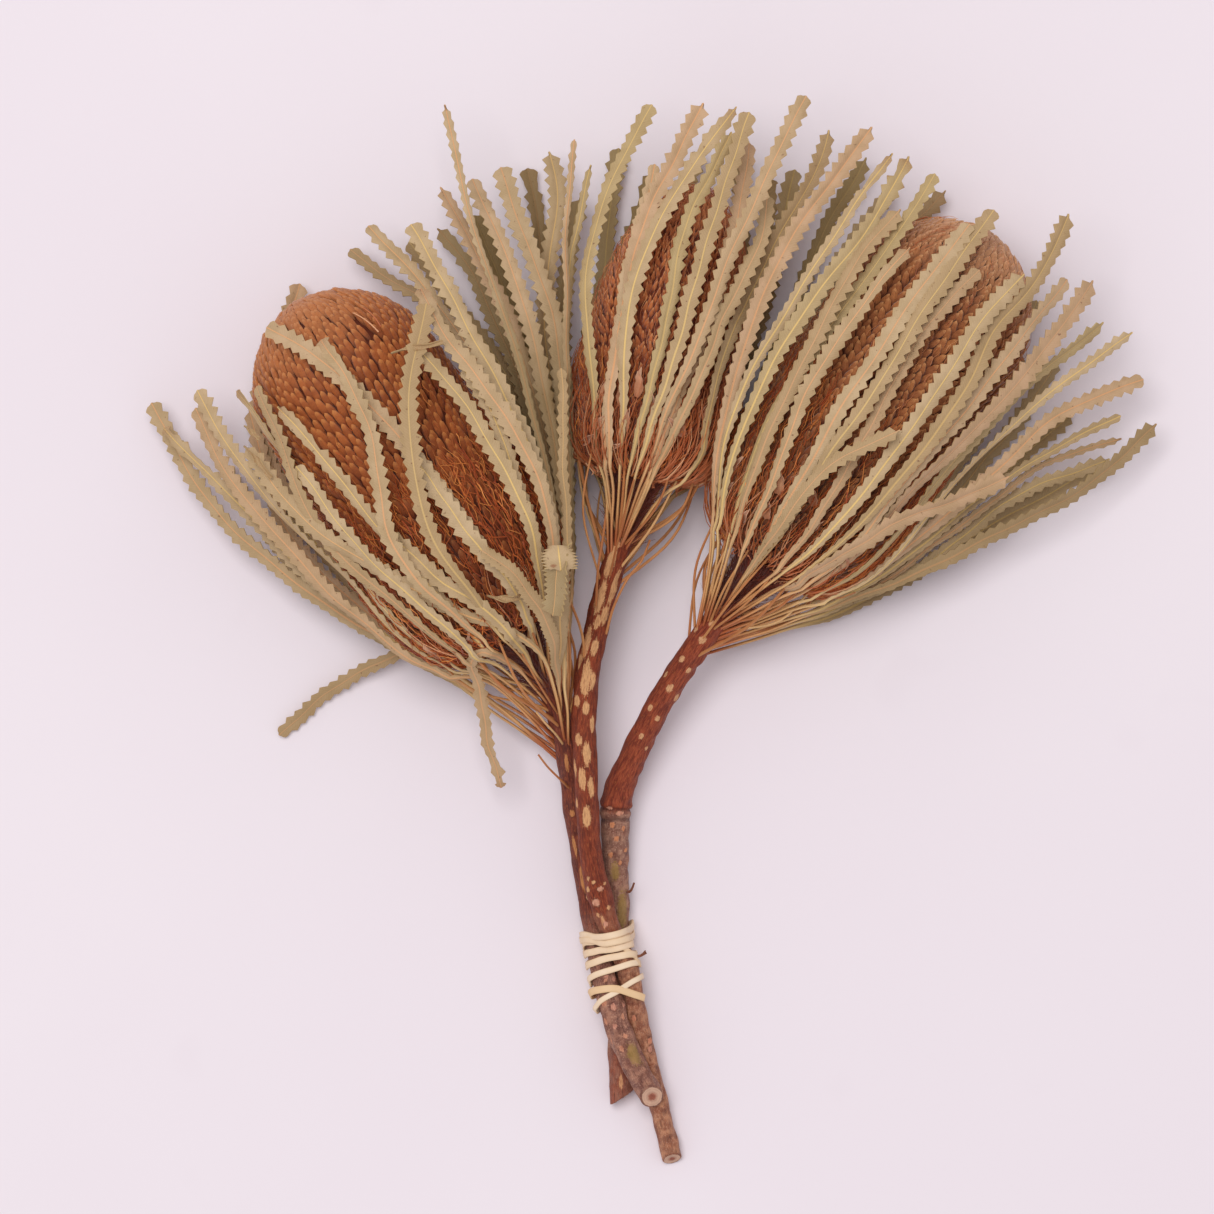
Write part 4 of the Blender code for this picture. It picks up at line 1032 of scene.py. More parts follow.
# rings of points over the cut end, from the rim to the middle, and how much of each is wood
def cutEnd(centre, run, reach, back, draw):
    rings, woods = [], []
    for share in (0.96, 0.9, 0.8, 0.68, 0.55, 0.42, 0.3, 0.18, 0.08, 0.0):
        rough = np.array([draw.uniform(-0.12, 0.12) for _ in back]) * mm * (0 < share < 0.95)
        rough[-1] = rough[0]
        deep = back * share - rough - 0.3 * mm * (share < 0.93)
        rings.append(centre + reach * share - run * deep[:, None])
        woods.append(np.full(len(back), 1 - share if share < 0.85 else 0.0))
    return rings, np.array(woods)


def buildStem(side):
    look = stemLooks[side]
    draw = random.Random(70 + len(side))
    line = stemLine(side, stemGrid["step"])
    far = walked(line)
    turn = np.linspace(-0.5 * math.pi, -2.5 * math.pi, stemGrid["columns"])
    centres, radii = line[:, :3], stemRadius(line, far)
    run = tangents(centres)
    sideWay = unit(np.cross(run, up))
    upWay = np.cross(sideWay, run)
    along, around = far / mm, -turn * ringScale
    down = originPixel[1] - centres[:, 1] / pixel
    masks, rise = markStem(side, look, line, along, around, down, draw)
    bumps = stemBumps(side, look, along, around, turn, down, masks, draw)
    size = radii[:, None] + rise + bumps
    reach = sideWay[:, None] * np.cos(turn)[None, :, None] + upWay[:, None] * np.sin(turn)[None, :, None]
    reach = reach * size[..., None]
    back = look["cut"][0] * (reach @ upWay[-1]) + look["cut"][1] * (reach @ sideWay[-1])
    past = far[:, None] - (far[-1] - back)
    moved = np.maximum(past, 0)
    moved[-1] = past[-1]
    points = centres[:, None] + reach - run[:, None] * moved[..., None]
    caps, woods = cutEnd(centres[-1], run[-1], reach[-1], back[-1], draw)
    tints = np.zeros(rise.shape + (4,))
    tints[..., 0] = masks["scar"]
    red = look.get("redAgain", (2000, 2001))
    tints[..., 1] = (smooth(down, *look["low"]) * (1 - 0.65 * smooth(down, *red)))[:, None]
    tints[..., 3] = smooth(along, 30, 12)[:, None]
    spots = np.stack([masks[name] for name in ("olive", "ring", "dark", "pink")], axis=-1)
    capTints = np.zeros((len(caps), len(turn), 4))
    capTints[..., 1] = 1
    capTints[..., 2] = woods
    base, axis, _ = headFrame(heads[side])
    points = np.concatenate([[points[0] * 0 + base + axis * mm], points, caps])
    tints = np.concatenate([tints[:1], tints, capTints])
    spots = np.concatenate([spots[:1], spots, capTints * 0])
    lengths = np.concatenate([[0], along, along[-1] + np.arange(len(caps)) * 0.5])
    uvs = np.stack(np.broadcast_arrays(around[None], lengths[:, None]), axis=-1)
    layers = {"barkMarks": tints, "barkPatch": spots}
    stem = gridSheet("stem" + side.title(), points, uvs, layers, [barkFinishes[side]])
    closeSeams(stem)
    return stem


# short wool on the stem's collar
def buildWool(side, count):
    draw = random.Random(90 + len(side))
    line = stemLine(side, 1 * mm)
    far = walked(line)
    own = np.array([[draw.random() for _ in range(8)] for _ in range(count)])
    at = own[:, 0] ** 1.4 * 28 * mm
    rows = rowsAt(np.hstack([line, tangents(line[:, :3])]), far, at)
    run = unit(rows[:, 4:])
    aside = unit(np.cross(run, up))
    over = np.cross(aside, run)
    turn = own[:, 1] * 2 * math.pi
    ring = aside * np.cos(turn)[:, None] + over * np.sin(turn)[:, None]
    root = rows[:, :3] + ring * (stemRadius(rows, at) - 0.2 * mm)[:, None]
    length = (4 + 8 * own[:, 2])[:, None] * mm
    spread = ring * (0.25 + 0.8 * own[:, 4:5]) + np.cross(run, ring) * (own[:, 5:6] - 0.5) * 0.9
    way = unit(-run * (0.5 + own[:, 3:4]) + spread)
    paths = []
    for step in range(4):
        t = step / 3
        sag = up * (t ** 2 * length * 0.12 * own[:, 6:7])
        paths.append(root + way * length * t - sag + ring * (0.3 * mm * math.sin(3 * t)))
    tints = np.zeros((count, 4))
    tints[:, 0] = own[:, 6]
    tints[:, 1] = 0.3 + 0.7 * own[:, 7]
    tints[:, 2] = 0.3
    radii = 0.17 * mm * (0.7 + 0.6 * own[:, 5])
    return hairsMesh("wool" + side.title(), np.stack(paths, axis=1), radii, tints, finishes["woolRed"])


# bare leaf stalks: drawn ones as (pixel across, pixel down, height), and many round the head's foot
bareStalks = {
    "left": [[(563, 745, 24), (556, 735, 30), (546, 724, 35), (536, 712, 37)],
             [(570, 790, 18), (562, 782, 24), (548, 768, 27), (538, 755, 27)]],
    "middle": [[(606, 634, 34), (614, 606, 37), (628, 578, 38), (641, 562, 37), (650, 540, 33)],
               [(596, 606, 37), (598, 570, 40), (604, 530, 40), (610, 480, 38)]],
    "right": [],
}


# a line with its points spread evenly
def evened(line, count):
    far = walked(line)
    return rowsAt(line, far, np.linspace(0, far[-1], count))


def buildStalks(side, count):
    draw = random.Random(130 + len(side))
    line = stemLine(side, 1 * mm)
    far = walked(line)
    rows = np.hstack([line, tangents(line[:, :3])])
    paths = [evened(smoothLine([place(*point) for point in stalk], mm), 14) for stalk in bareStalks[side]]
    for number in range(count):
        depth = draw.uniform(24, 46) * mm
        turn = 2 * math.pi * (number + 0.8 * draw.random()) / count
        row = rowsAt(rows, far, [depth])[0]
        run = unit(row[4:])
        aside = unit(np.cross(run, up))
        over = np.cross(aside, run)
        ring = aside * math.cos(turn) + over * math.sin(turn)
        rim, frames, _ = onHead(heads[side], np.array([draw.uniform(3, 14) * mm]), np.array([math.pi - turn]))
        root = row[:3] + ring * row[3] * 0.6
        end = rim[0] + frames[0, 2] * draw.uniform(0.5, 2.5) * mm
        bulge = (ring * draw.uniform(2, 7) + aside * draw.uniform(-2, 2)) * mm
        paths.append(evened(smoothLine([root, root * 0.5 + end * 0.5 + bulge, end], mm), 14))
    own = np.array([[draw.random() for _ in range(3)] for _ in paths])
    even = np.ones(len(paths))
    tints = np.column_stack([own[:, 0], 0.35 + 0.65 * own[:, 1], 0.4 * even, even])
    radii = (0.45 + 0.25 * own[:, 2]) * mm
    return hairsMesh("stalks" + side.title(), np.array(paths), radii, tints, finishes["stalkTan"], 7, 0.8)


# broken twigs on the right stem and at the band: pixel across, down, height and radius in mm
twigs = [
    ("right", [(624, 893, 9.5), (629.3, 894, 10.5), (632, 891, 12), (634.2, 885, 14)], 0.55),
    ("middle", [(631, 960, 16.5), (637, 958.5, 18), (641, 957.5, 18.5), (646.5, 954.5, 19)], 0.6),
    ("middle", [(641, 957.5, 18.5), (643.5, 955, 19.5), (645.5, 952.5, 20.5)], 0.4),
]


def buildTwigs(side):
    pieces = []
    for owner, points, radius in twigs:
        if owner == side:
            path = evened(smoothLine([place(*point) for point in points], 0.5 * mm), 10)
            tints, radii = np.array([[0.4, 0.6, 0.2, 1.0]]), np.array([radius]) * mm
            pieces.append(hairsMesh("twig", path[None], radii, tints, finishes["twigBrown"], 8, 0.75))
    return pieces


for side in sides:
    stem = buildStem(side)
    finishPiece(stem, "leafy_stem_" + side, "bark")
    parts = [buildWool(side, fuzz["wool"]), buildStalks(side, fuzz["stalks"])] + buildTwigs(side)
    wool = joined("wool" + side.title(), parts)
    finishPiece(wool, "leafy_stem_" + side, "bark")
    print("stem", side, len(stem.data.polygons), "wool", len(wool.data.polygons))


# leaves

# each leaf: how far down the stem it roots in mm, its width as a share, and its guides in photo pixels
# across and down with the height in mm, from the shoulder to the tip
leafRows = {
    "left": [
        (24, 1.0, [(484, 548, 76), (404, 443, 82), (334, 369, 80), (270, 330, 66)]),
        (28, 1.0, [(452, 612, 78), (392, 540, 88), (375, 440, 90), (352, 382, 86), (325, 343, 76)]),
        (30, 1.0, [(472, 594, 82), (426, 520, 92), (411, 415, 92), (414, 372, 90), (428, 308, 78)]),
        (34, 0.95, [(553, 548, 72), (534, 465, 80), (487, 390, 84), (446, 340, 80), (424, 292, 70)]),
        (30, 1.0, [(537, 548, 78), (503, 467, 86), (466, 403, 88), (423, 357, 82)]),
        (32, 0.8, [(538, 550, 70), (514, 473, 78), (493, 413, 80), (466, 372, 76)]),
        (34, 1.0, [(450, 606, 72), (380, 526, 80), (324, 458, 80), (282, 410, 66)]),
        (46, 0.9, [(452, 636, 58), (350, 565, 66), (301, 498, 66), (284, 430, 64), (266, 384, 56)]),
        (42, 0.9, [(452, 620, 66), (385, 575, 72), (340, 522, 74), (300, 468, 66)]),
        (50, 0.85, [(448, 640, 48), (340, 555, 56), (281, 445, 56), (238, 393, 46)]),
        (28, 1.0, [(520, 598, 74), (484, 553, 82), (441, 494, 86), (416, 460, 84)]),
        (32, 0.85, [(500, 620, 72), (450, 588, 80), (418, 558, 82), (394, 538, 78)]),
        (58, 1.0, [(541, 652, 56), (449, 607, 72), (380, 571, 72), (308, 522, 66), (247, 450, 52)]),
        (54, 1.0, [(460, 652, 44), (350, 580, 50), (280, 512, 50), (222, 437, 46), (197, 392, 38)]),
        (58, 1.0, [(470, 664, 40), (354, 613, 44), (293, 553, 44), (232, 481, 40), (194, 410, 32)]),
        (60, 0.9, [(452, 672, 28), (340, 605, 32), (258, 524, 30), (201, 468, 26), (163, 428, 20)]),
        (62, 1.0, [(470, 686, 24), (353, 622, 26), (255, 552, 22), (204, 498, 18), (149, 403, 12)]),
        (54, 0.85, [(470, 656, 20), (402, 652, 12), (340, 683, 5), (277, 735, 2.5)]),
        (40, 0.85, [(492, 644, 58), (476, 662, 52), (486, 730, 36), (500, 787, 24)]),
        (44, 0.9, [(556, 652, 62), (546, 620, 74), (518, 574, 86), (484, 553, 86)]),
        (36, 1.0, [(562, 540, 26), (490, 385, 32), (420, 309, 26), (350, 248, 16)]),
        (38, 1.0, [(564, 535, 44), (497, 392, 52), (426, 290, 46), (370, 226, 34)]),
        (36, 1.0, [(558, 545, 62), (514, 415, 70), (456, 305, 66), (411, 227, 50)]),
        (44, 0.95, [(564, 545, 20), (525, 400, 20), (474, 272, 16), (438, 229, 10)]),
        (42, 1.0, [(566, 545, 34), (533, 390, 38), (486, 270, 36), (442, 189, 26)]),
        (40, 0.5, [(562, 560, 58), (526, 385, 66), (480, 247, 64), (460, 177, 58), (447, 110, 52)]),
        (46, 1.0, [(567, 560, 46), (541, 370, 50), (504, 250, 48), (473, 180, 38)]),
        (48, 1.0, [(569, 560, 38), (559, 350, 42), (524, 235, 40), (501, 168, 32)]),
        (52, 1.0, [(570, 570, 28), (548, 360, 32), (547, 262, 30), (558, 207, 28), (550, 153, 20)]),
        (54, 0.4, [(570, 600, 44), (569, 368, 48), (567, 214, 48), (574, 141, 40)]),
        (56, 0.45, [(570, 600, 36), (571, 380, 40), (574, 240, 42), (596, 169, 38)]),
        (56, 1.0, [(570, 590, 20), (572, 380, 20), (576, 262, 18), (590, 198, 14)]),
        (60, 0.6, [(566, 680, 46), (564, 625, 54), (570, 520, 60), (571, 440, 60), (569, 371, 54)]),
    ],
    "middle": [
        (42, 0.95, [(602, 440, 50), (588, 345, 58), (586, 280, 60), (606, 193, 60), (652, 108, 52)]),
        (38, 0.8, [(609, 440, 54), (616, 340, 62), (636, 240, 64), (655, 168, 58)]),
        (40, 1.0, [(614, 440, 56), (619, 330, 62), (648, 215, 66), (701, 109, 58)]),
        (36, 1.0, [(622, 435, 60), (627, 320, 66), (658, 223, 68), (733, 112, 58)]),
        (34, 0.95, [(636, 440, 60), (661, 350, 64), (683, 235, 68), (729, 138, 60)]),
        (34, 1.0, [(647, 434, 62), (678, 350, 66), (709, 231, 70), (749, 117, 62)]),
        (38, 0.9, [(664, 432, 58), (705, 330, 62), (736, 230, 58), (748, 145, 48)]),
        (32, 1.0, [(656, 440, 62), (694, 350, 68), (741, 231, 72), (804, 101, 68)]),
        (40, 0.95, [(698, 436, 50), (765, 330, 52), (806, 250, 50), (827, 134, 42)]),
        (36, 0.9, [(674, 432, 62), (722, 335, 66), (760, 256, 62), (766, 197, 54)]),
    ],
    "right": [
        (46, 1.0, [(710, 560, 46), (715, 467, 54), (742, 350, 58), (784, 251, 60), (868, 132, 56)]),
        (44, 0.7, [(715, 545, 50), (724, 440, 58), (774, 330, 62), (836, 235, 60), (888, 157, 52)]),
        (40, 1.0, [(720, 545, 54), (742, 430, 64), (802, 315, 66), (868, 228, 66), (906, 162, 58)]),
        (42, 1.0, [(726, 548, 56), (762, 430, 70), (817, 345, 72), (888, 248, 70), (932, 177, 60)]),
        (38, 1.05, [(730, 545, 60), (758, 460, 72), (800, 365, 78), (855, 264, 76), (896, 215, 68)]),
        (34, 1.0, [(746, 545, 66), (776, 467, 78), (813, 377, 84), (861, 307, 82), (904, 253, 76)]),
        (32, 1.0, [(764, 542, 70), (818, 446, 82), (858, 380, 86), (921, 287, 82), (966, 228, 70)]),
        (30, 1.05, [(778, 536, 74), (830, 452, 84), (880, 380, 88), (931, 296, 84), (991, 214, 66)]),
        (34, 0.85, [(800, 542, 72), (860, 440, 82), (920, 335, 82), (974, 273, 74)]),
        (32, 1.1, [(808, 552, 74), (880, 470, 84), (940, 383, 88), (978, 322, 82), (1019, 280, 70)]),
        (36, 1.0, [(818, 562, 70), (905, 470, 78), (966, 387, 80), (990, 330, 76), (1032, 286, 66),
                   (1066, 219, 54)]),
        (38, 0.95, [(828, 568, 66), (920, 462, 74), (988, 380, 72), (1023, 335, 64), (1064, 281, 54)]),
        (38, 1.05, [(834, 574, 60), (915, 485, 68), (995, 408, 66), (1050, 342, 56), (1090, 284, 46)]),
        (40, 1.0, [(840, 580, 54), (940, 475, 58), (1023, 387, 52), (1100, 325, 42)]),
        (42, 0.65, [(845, 584, 48), (950, 485, 50), (1062, 382, 44), (1131, 336, 34)]),
        (42, 1.0, [(850, 590, 42), (950, 510, 44), (1016, 454, 40), (1061, 411, 36), (1144, 380, 26)]),
        (44, 0.5, [(852, 594, 36), (950, 522, 36), (1032, 461, 32), (1121, 416, 26)]),
        (44, 0.45, [(854, 598, 30), (950, 534, 30), (1040, 467, 26), (1120, 438, 20)]),
        (46, 0.75, [(856, 602, 26), (936, 557, 26), (1025, 491, 22), (1109, 460, 16)]),
        (46, 1.0, [(800, 620, 32), (900, 580, 32), (1007, 530, 28), (1087, 486, 26), (1157, 427, 20)]),
        (36, 1.05, [(812, 562, 62), (860, 534, 66), (936, 507, 66), (1004, 480, 58)]),
        (30, 0.85, [(776, 530, 80), (822, 470, 90), (892, 434, 92)]),
    ],
}
foldedLeaf = (40, 1.1, [(560, 640, 60), (561, 580, 70), (561, 553, 82), (559, 566, 90), (557, 614, 84)])
curledLeaf = leafRows["left"][19]
# lower leaves, in fans from a first leaf to a last one
fans = {
    "left": [
        dict(count=3, roots=(44, 54), first=[(564, 590, 15), (520, 400, 10), (408, 240, 5)],
             last=[(566, 600, 13), (556, 370, 9), (528, 166, 5)]),
        dict(count=4, roots=(50, 60), first=[(408, 636, 13), (258, 440, 5), (297, 283, 9)],
             last=[(450, 682, 13), (315, 592, 7), (222, 468, 4)]),
    ],
    "middle": [
        dict(count=3, roots=(38, 44), first=[(600, 450, 14), (602, 300, 8), (617, 146, 6)],
             last=[(616, 434, 8), (640, 290, 5), (700, 150, 9)]),
        dict(count=3, roots=(38, 44), first=[(706, 440, 10), (738, 300, 9), (745, 150, 9)],
             last=[(706, 446, 9), (764, 305, 12), (795, 170, 26)]),
    ],
    "right": [
        dict(count=3, roots=(40, 44), first=[(744, 450, 12), (808, 270, 8), (862, 158, 14)],
             last=[(765, 440, 8), (850, 290, 5), (945, 190, 9)]),
        dict(count=4, roots=(40, 48), first=[(884, 552, 17), (990, 420, 8), (1040, 300, 8)],
             last=[(852, 608, 9), (985, 530, 4), (1108, 462, 3)]),
    ],
}
# curtains that keep one head's leaves off the next: (pixel down, pixel across), lean per mm of height
curtains = {
    "leftMiddle": dict(
        line=[(100, 612), (150, 604), (250, 580), (350, 575), (450, 578), (560, 582), (660, 573)], lean=-0.2,
    ),
    "middleRight": dict(
        line=[(100, 886), (208, 826), (322, 770), (450, 736), (530, 696), (620, 668)], lean=-1.1,
    ),
}
leaf = dict(
    seed=11, shift=(0, 4, 6), heightShift=1.5, shorter=0.15, roll=0.3, layers=3, layer=1.7 * mm,
    clear=1.2 * mm, baseClear=4 * mm, tableClear=1.35 * mm, lineStep=3 * mm, rootPoints=3,
    settle=(6, 4, 2, 0), flatNear=5 * mm, flatFade=9 * mm, faceUp=0.75, upperPull=0.3, foldStart=4,
    rootRoll=0.2, flatRoll=0.8,
    stalk=0.24, stalkHalf=0.9 * mm, widest=0.78, half=4.3 * mm, toothPitch=4.3 * mm, toothLean=0.66,
    finePitch=2.3 * mm, foldedWidth=1.5, openFrom=-66 * mm, thickness=0.42 * mm,
)


def curtainAcross(name, down, height):
    downs, acrosses = zip(*curtains[name]["line"])
    return np.interp(down, downs, acrosses) + curtains[name]["lean"] * np.maximum(height - 30 * mm, 0) / mm


def keepBetweenCurtains(side, line, half):
    down = originPixel[1] - line[:, 1] / pixel
    room = half + 0.7 * mm
    if side in ("left", "middle"):
        name = "leftMiddle" if side == "left" else "middleRight"
        most = (curtainAcross(name, down, line[:, 2]) - originPixel[0]) * pixel - room
        line[:, 0] = np.minimum(line[:, 0], most)
    if side in ("middle", "right"):
        name = "leftMiddle" if side == "middle" else "middleRight"
        least = (curtainAcross(name, down, line[:, 2]) - originPixel[0]) * pixel + room
        line[:, 0] = np.maximum(line[:, 0], least)


def keepOffHead(head, line, edges, layer):
    base, axis, length = headFrame(head)
    along = (line - base) @ axis
    outward = unit(line - base - np.outer(along, axis))
    short = np.zeros(len(line))
    for sign in (-1, 0, 1):
        reach = line + sign * edges - base
        along = reach @ axis
        away = np.linalg.norm(reach - np.outer(along, axis), axis=1)
        beside = np.clip((along + leaf["baseClear"]) / leaf["baseClear"], 0, 1)
        beside *= along < length + leaf["clear"]
        wanted = headRadius(head, np.clip(along / length, 0.02, 1)) + floretRise + leaf["clear"] + layer
        short = np.maximum(short, (wanted - away) * beside)
    line += outward * short[:, None]


def leafFrames(head, line, roll, folded):
    base, axis, length = headFrame(head)
    along = (line - base) @ axis
    outward = line - base - np.outer(along, axis)
    reach = np.linalg.norm(outward, axis=1)
    outward /= reach[:, None]
    gap = reach - headRadius(head, along / length)
    near = np.clip(1 - (gap - leaf["flatNear"]) / leaf["flatFade"], 0, 1) * ((along > 0) & (along < length))
    near *= np.clip(outward[:, 2] * 4, 0, 1)
    raised = leaf["faceUp"] * (1 - near)
    wished = outward * (1 - raised)[:, None] + np.outer(raised, up)
    run = tangents(line)
    wished -= run * np.sum(wished * run, axis=1)[:, None]
    upper = np.zeros_like(line)
    start = leaf["foldStart"] if folded else len(line) // 2
    pull = 0 if folded else leaf["upperPull"]
    upper[start] = unit(wished[start])
    for order in (range(start + 1, len(line)), range(start - 1, -1, -1)):
        carried = upper[start]
        for station in order:
            carried = carried - run[station] * (carried @ run[station]) + pull * wished[station]
            carried = unit(carried)
            upper[station] = carried
    sideWay = np.cross(run, upper)
    turn = roll * (np.linspace(leaf["rootRoll"], 1, len(line)) * (1 - leaf["flatRoll"] * near))[:, None]
    return sideWay * np.cos(turn) + upper * np.sin(turn), upper * np.cos(turn) - sideWay * np.sin(turn)


def leafHalf(share, width):
    grown = np.clip((share - leaf["stalk"]) / (leaf["widest"] - leaf["stalk"]), 0, 1)
    return leaf["stalkHalf"] + (leaf["half"] * width - leaf["stalkHalf"]) * np.sin(grown * math.pi / 2)


# the leaves of a fan, as leaf rows
def blendedLeaves(fan, draw):
    for number in range(fan["count"]):
        blend = number / (fan["count"] - 1)
        between = 0 < blend < 1
        guides = []
        for shift, start, end in zip(leaf["shift"], fan["first"], fan["last"]):
            strays = [draw.uniform(-most, most) * between for most in (shift, shift, leaf["heightShift"])]
            guides.append([a + (b - a) * blend + stray for a, b, stray in zip(start, end, strays)])
        shorter = between * draw.uniform(0, leaf["shorter"])
        guides[-1] = [tip + (middle - tip) * shorter for tip, middle in zip(guides[-1], guides[-2])]
        yield fan["roots"][0] * (1 - blend) + fan["roots"][1] * blend, 1, guides


def leafLine(side, stem, row, layer, roll, folded):
    depth, width, guides = row
    root = rowsAt(stem[:, :3], walked(stem), [depth * mm])[0]
    line = smoothLine([root] + [place(*guide) for guide in guides], leaf["lineStep"])
    half = leafHalf(np.linspace(0, 1, len(line)), width)
    free = leaf["rootPoints"]
    for rounds in leaf["settle"]:
        sideWay, _ = leafFrames(heads[side], line, roll, folded)
        edges = sideWay * half[:, None]
        lowest = leaf["tableClear"] + np.abs(edges[:, 2]) + layer / leaf["layers"]
        line[free:, 2] = np.maximum(line[free:, 2], lowest[free:])
        keepOffHead(heads[side], line, edges, layer)
        keepBetweenCurtains(side, line, np.abs(edges[:, 0]))
        for _ in range(0 if folded else rounds):
            line[1:-1] = (line[:-2] + 2 * line[1:-1] + line[2:]) / 4
    return line


# how deep the notches between the teeth go
def leafSinus(share, fine):
    grown = np.clip(1.5 * (share - leaf["stalk"]) / (1 - leaf["stalk"]), 0, 1)
    return (0.88 if fine else 0.76) - 0.16 * grown


# the line and frames of a leaf again, with small waves to the side and a slow twist
def wavyLeaf(head, line, roll, folded, own):
    sideWay, upper = leafFrames(head, line, roll, folded)
    sway, waves = own.uniform(0.2, 0.5), (own.uniform(2, 4), own.uniform(5, 8))
    phases = own.uniform(0, 6.3), own.uniform(0, 6.3), own.uniform(0, 6.3)
    steady = np.linspace(0, 1, len(line))
    bent = np.sin(waves[0] * steady * 6.3 + phases[0]) + 0.6 * np.sin(waves[1] * steady * 6.3 + phases[1])
    line = line + sideWay * (bent * sway * mm * np.clip(4 * steady, 0, 1))[:, None]
    twist = (0 if folded else 0.22) * np.sin(waves[0] * 0.7 * steady * 6.3 + phases[2])
    twist = (twist * np.clip(3 * steady - 0.6, 0, 1))[:, None]
    turnedSide = sideWay * np.cos(twist) + upper * np.sin(twist)
    turnedUpper = upper * np.cos(twist) - sideWay * np.sin(twist)
    return line, turnedSide, turnedUpper, waves[1], phases[2]


# the corners of the outline: shares of the length, and shares of the half width that each one reaches
def leafOutline(length, fine, own):
    stalk = leaf["stalk"]
    pairs = max(12, round(length * (1 - stalk) / (leaf["finePitch"] if fine else leaf["toothPitch"])))
    pitch = (1 - stalk) / pairs
    worn, pointed = own.random() < 0.28, own.random() < 0.5
    shares, cuts = list(np.linspace(0, stalk, 9, endpoint=False)), [1.0] * 9
    for pair in range(pairs):
        start = stalk + pair * pitch
        ragged = own.uniform(0.45, 1.0) if worn and pair > 0.8 * pairs else own.choice((1, 1, 1, 1, 0.9))
        shares += [start, start + leaf["toothLean"] * pitch * own.uniform(0.93, 1.05)]
        sinus = leafSinus(start, fine) * own.uniform(0.94, 1.05)
        cuts += [sinus * min(1, ragged + 0.2), own.uniform(0.9, 1.08) * ragged]
    cuts[-1] *= 0.84
    shares += [1 - 0.2 * pitch, 1.0]
    cuts += [0.5, 0.12] if pointed else [0.74, 0.5]
    return np.array(shares), np.array(cuts), worn, pointed


# how dry, how much painted shade a low or covered leaf gets, how far out from the midrib, and half the
# midrib's width in mm
def leafWearAndShade(line, shares, fromRib, worn, dim, own):
    wearAndShade = np.zeros(fromRib.shape + (4,))
    middle = line[len(line) // 2]
    # painted shade: lower leaves get darker olive, less so out at the open left side
    lowness = float(smooth(middle[2] / mm, 54, 14)) * (0.3 if middle[0] < leaf["openFrom"] else 1)
    wearAndShade[..., 0] = (smooth(shares, 0.9, 1.02) * (0.6 if worn else own.uniform(0, 0.4)))[:, None]
    dryEdge = 0.6 * worn * smooth(shares, 0.5, 0.9) + 0.5 * (own.random() < 0.2)
    wearAndShade[..., 0] += 0.4 * (fromRib > 0.85) * dryEdge[:, None]
    shade = np.maximum(lowness * own.uniform(0.4, 1.0), dim * smooth(shares, 0.85, 0.55))
    wearAndShade[..., 1] = (shade * smooth(shares, 0.1, 0.3))[:, None]
    wearAndShade[..., 2] = fromRib
    wearAndShade[..., 3] = (0.44 - 0.2 * smooth(shares, leaf["stalk"], 0.95))[:, None]
    return wearAndShade


def buildLeaf(head, line, width, roll, folded, fine, dim, own):
    far, stalk = walked(line), leaf["stalk"]
    length = far[-1]
    line, sideWay, upper, ripples, phase = wavyLeaf(head, line, roll, folded, own)
    shares, cuts, worn, pointed = leafOutline(length, fine, own)
    half = leafHalf(shares, width) * own.uniform(0.94, 1.08)
    half = half * (1 + 0.05 * np.sin(ripples * shares * 6.3 + phase))
    stalkness = smooth(shares, stalk * 1.35, stalk * 0.8)
    half *= 1 + 0.55 * stalkness
    outer = half * cuts
    body = np.minimum(half * np.where(shares < stalk, 1.0, leafSinus(shares, fine)), outer)
    rib = 0.3 * mm
    inner = [-0.86 * body, -0.45 * body, 0 * body - rib, 0 * body, 0 * body + rib, 0.45 * body, 0.86 * body]
    across = np.stack([-outer, *inner, outer], axis=1)
    # the rolled stalk opens into a blade whose halves arch up from the rib and turn down at the edge
    bend = half[:, None] / 2.4
    share = np.abs(across) / half[:, None]
    arch, droop, cup = own.uniform(0.02, 0.2), own.uniform(0.0, 0.32), own.uniform(-0.12, 0.12)
    flatUp = half[:, None] * (arch * np.sin(2.6 * share) - droop * share ** 2 + cup * share * np.sign(across))
    wave, phase = own.uniform(2.5, 6), own.uniform(0, 6.3)
    flatUp += (across / leaf["half"]) ** 2 * 0.4 * mm * np.sin(shares * wave * 6.3 + phase)[:, None]
    rolled = stalkness[:, None]
    sidePart = across * (1 - 0.4 * droop) * (1 - rolled) + bend * np.sin(across / bend) * rolled
    upPart = flatUp * (1 - rolled) - bend * (1 - np.cos(across / bend)) * rolled
    centre, way, over = (rowsAt(rows, far / length, shares) for rows in (line, sideWay, upper))
    way, over = unit(way)[:, None], unit(over)[:, None]
    points = centre[:, None] + way * sidePart[..., None] + over * upPart[..., None]
    nib = np.array([0.3, 0.8, 1.0, 0.8, 0.3])[:, None] * (1.8 if pointed else 0.8) * mm
    points[-1, 2:-2] += unit(line[-1] - line[-2]) * nib
    start = own.uniform(0, 900)
    uvs = np.stack(np.broadcast_arrays(across / mm, (start + shares * length / mm)[:, None]), axis=-1)
    tints = np.zeros(points.shape[:2] + (4,))
    tints[..., 0] = own.random()
    tints[..., 1] = 0.5 if folded else own.random()
    tints[..., 2] = smooth(shares, stalk * 1.6, 0.0)[:, None]
    tints[:, (0, -1), 3] = 1
    wearAndShade = leafWearAndShade(line, shares, share, worn, dim, own)
    if folded:
        spot = np.exp(-((shares[:, None] - 0.62) / 0.012) ** 2 - (across / mm - 0.6) ** 2)
        wearAndShade[..., 0] = np.maximum(wearAndShade[..., 0], 1.2 * spot)
    return gridSheet("leaf", points, uvs, {"leafTint": tints, "leafWearAndShade": wearAndShade}, leafFinishes)


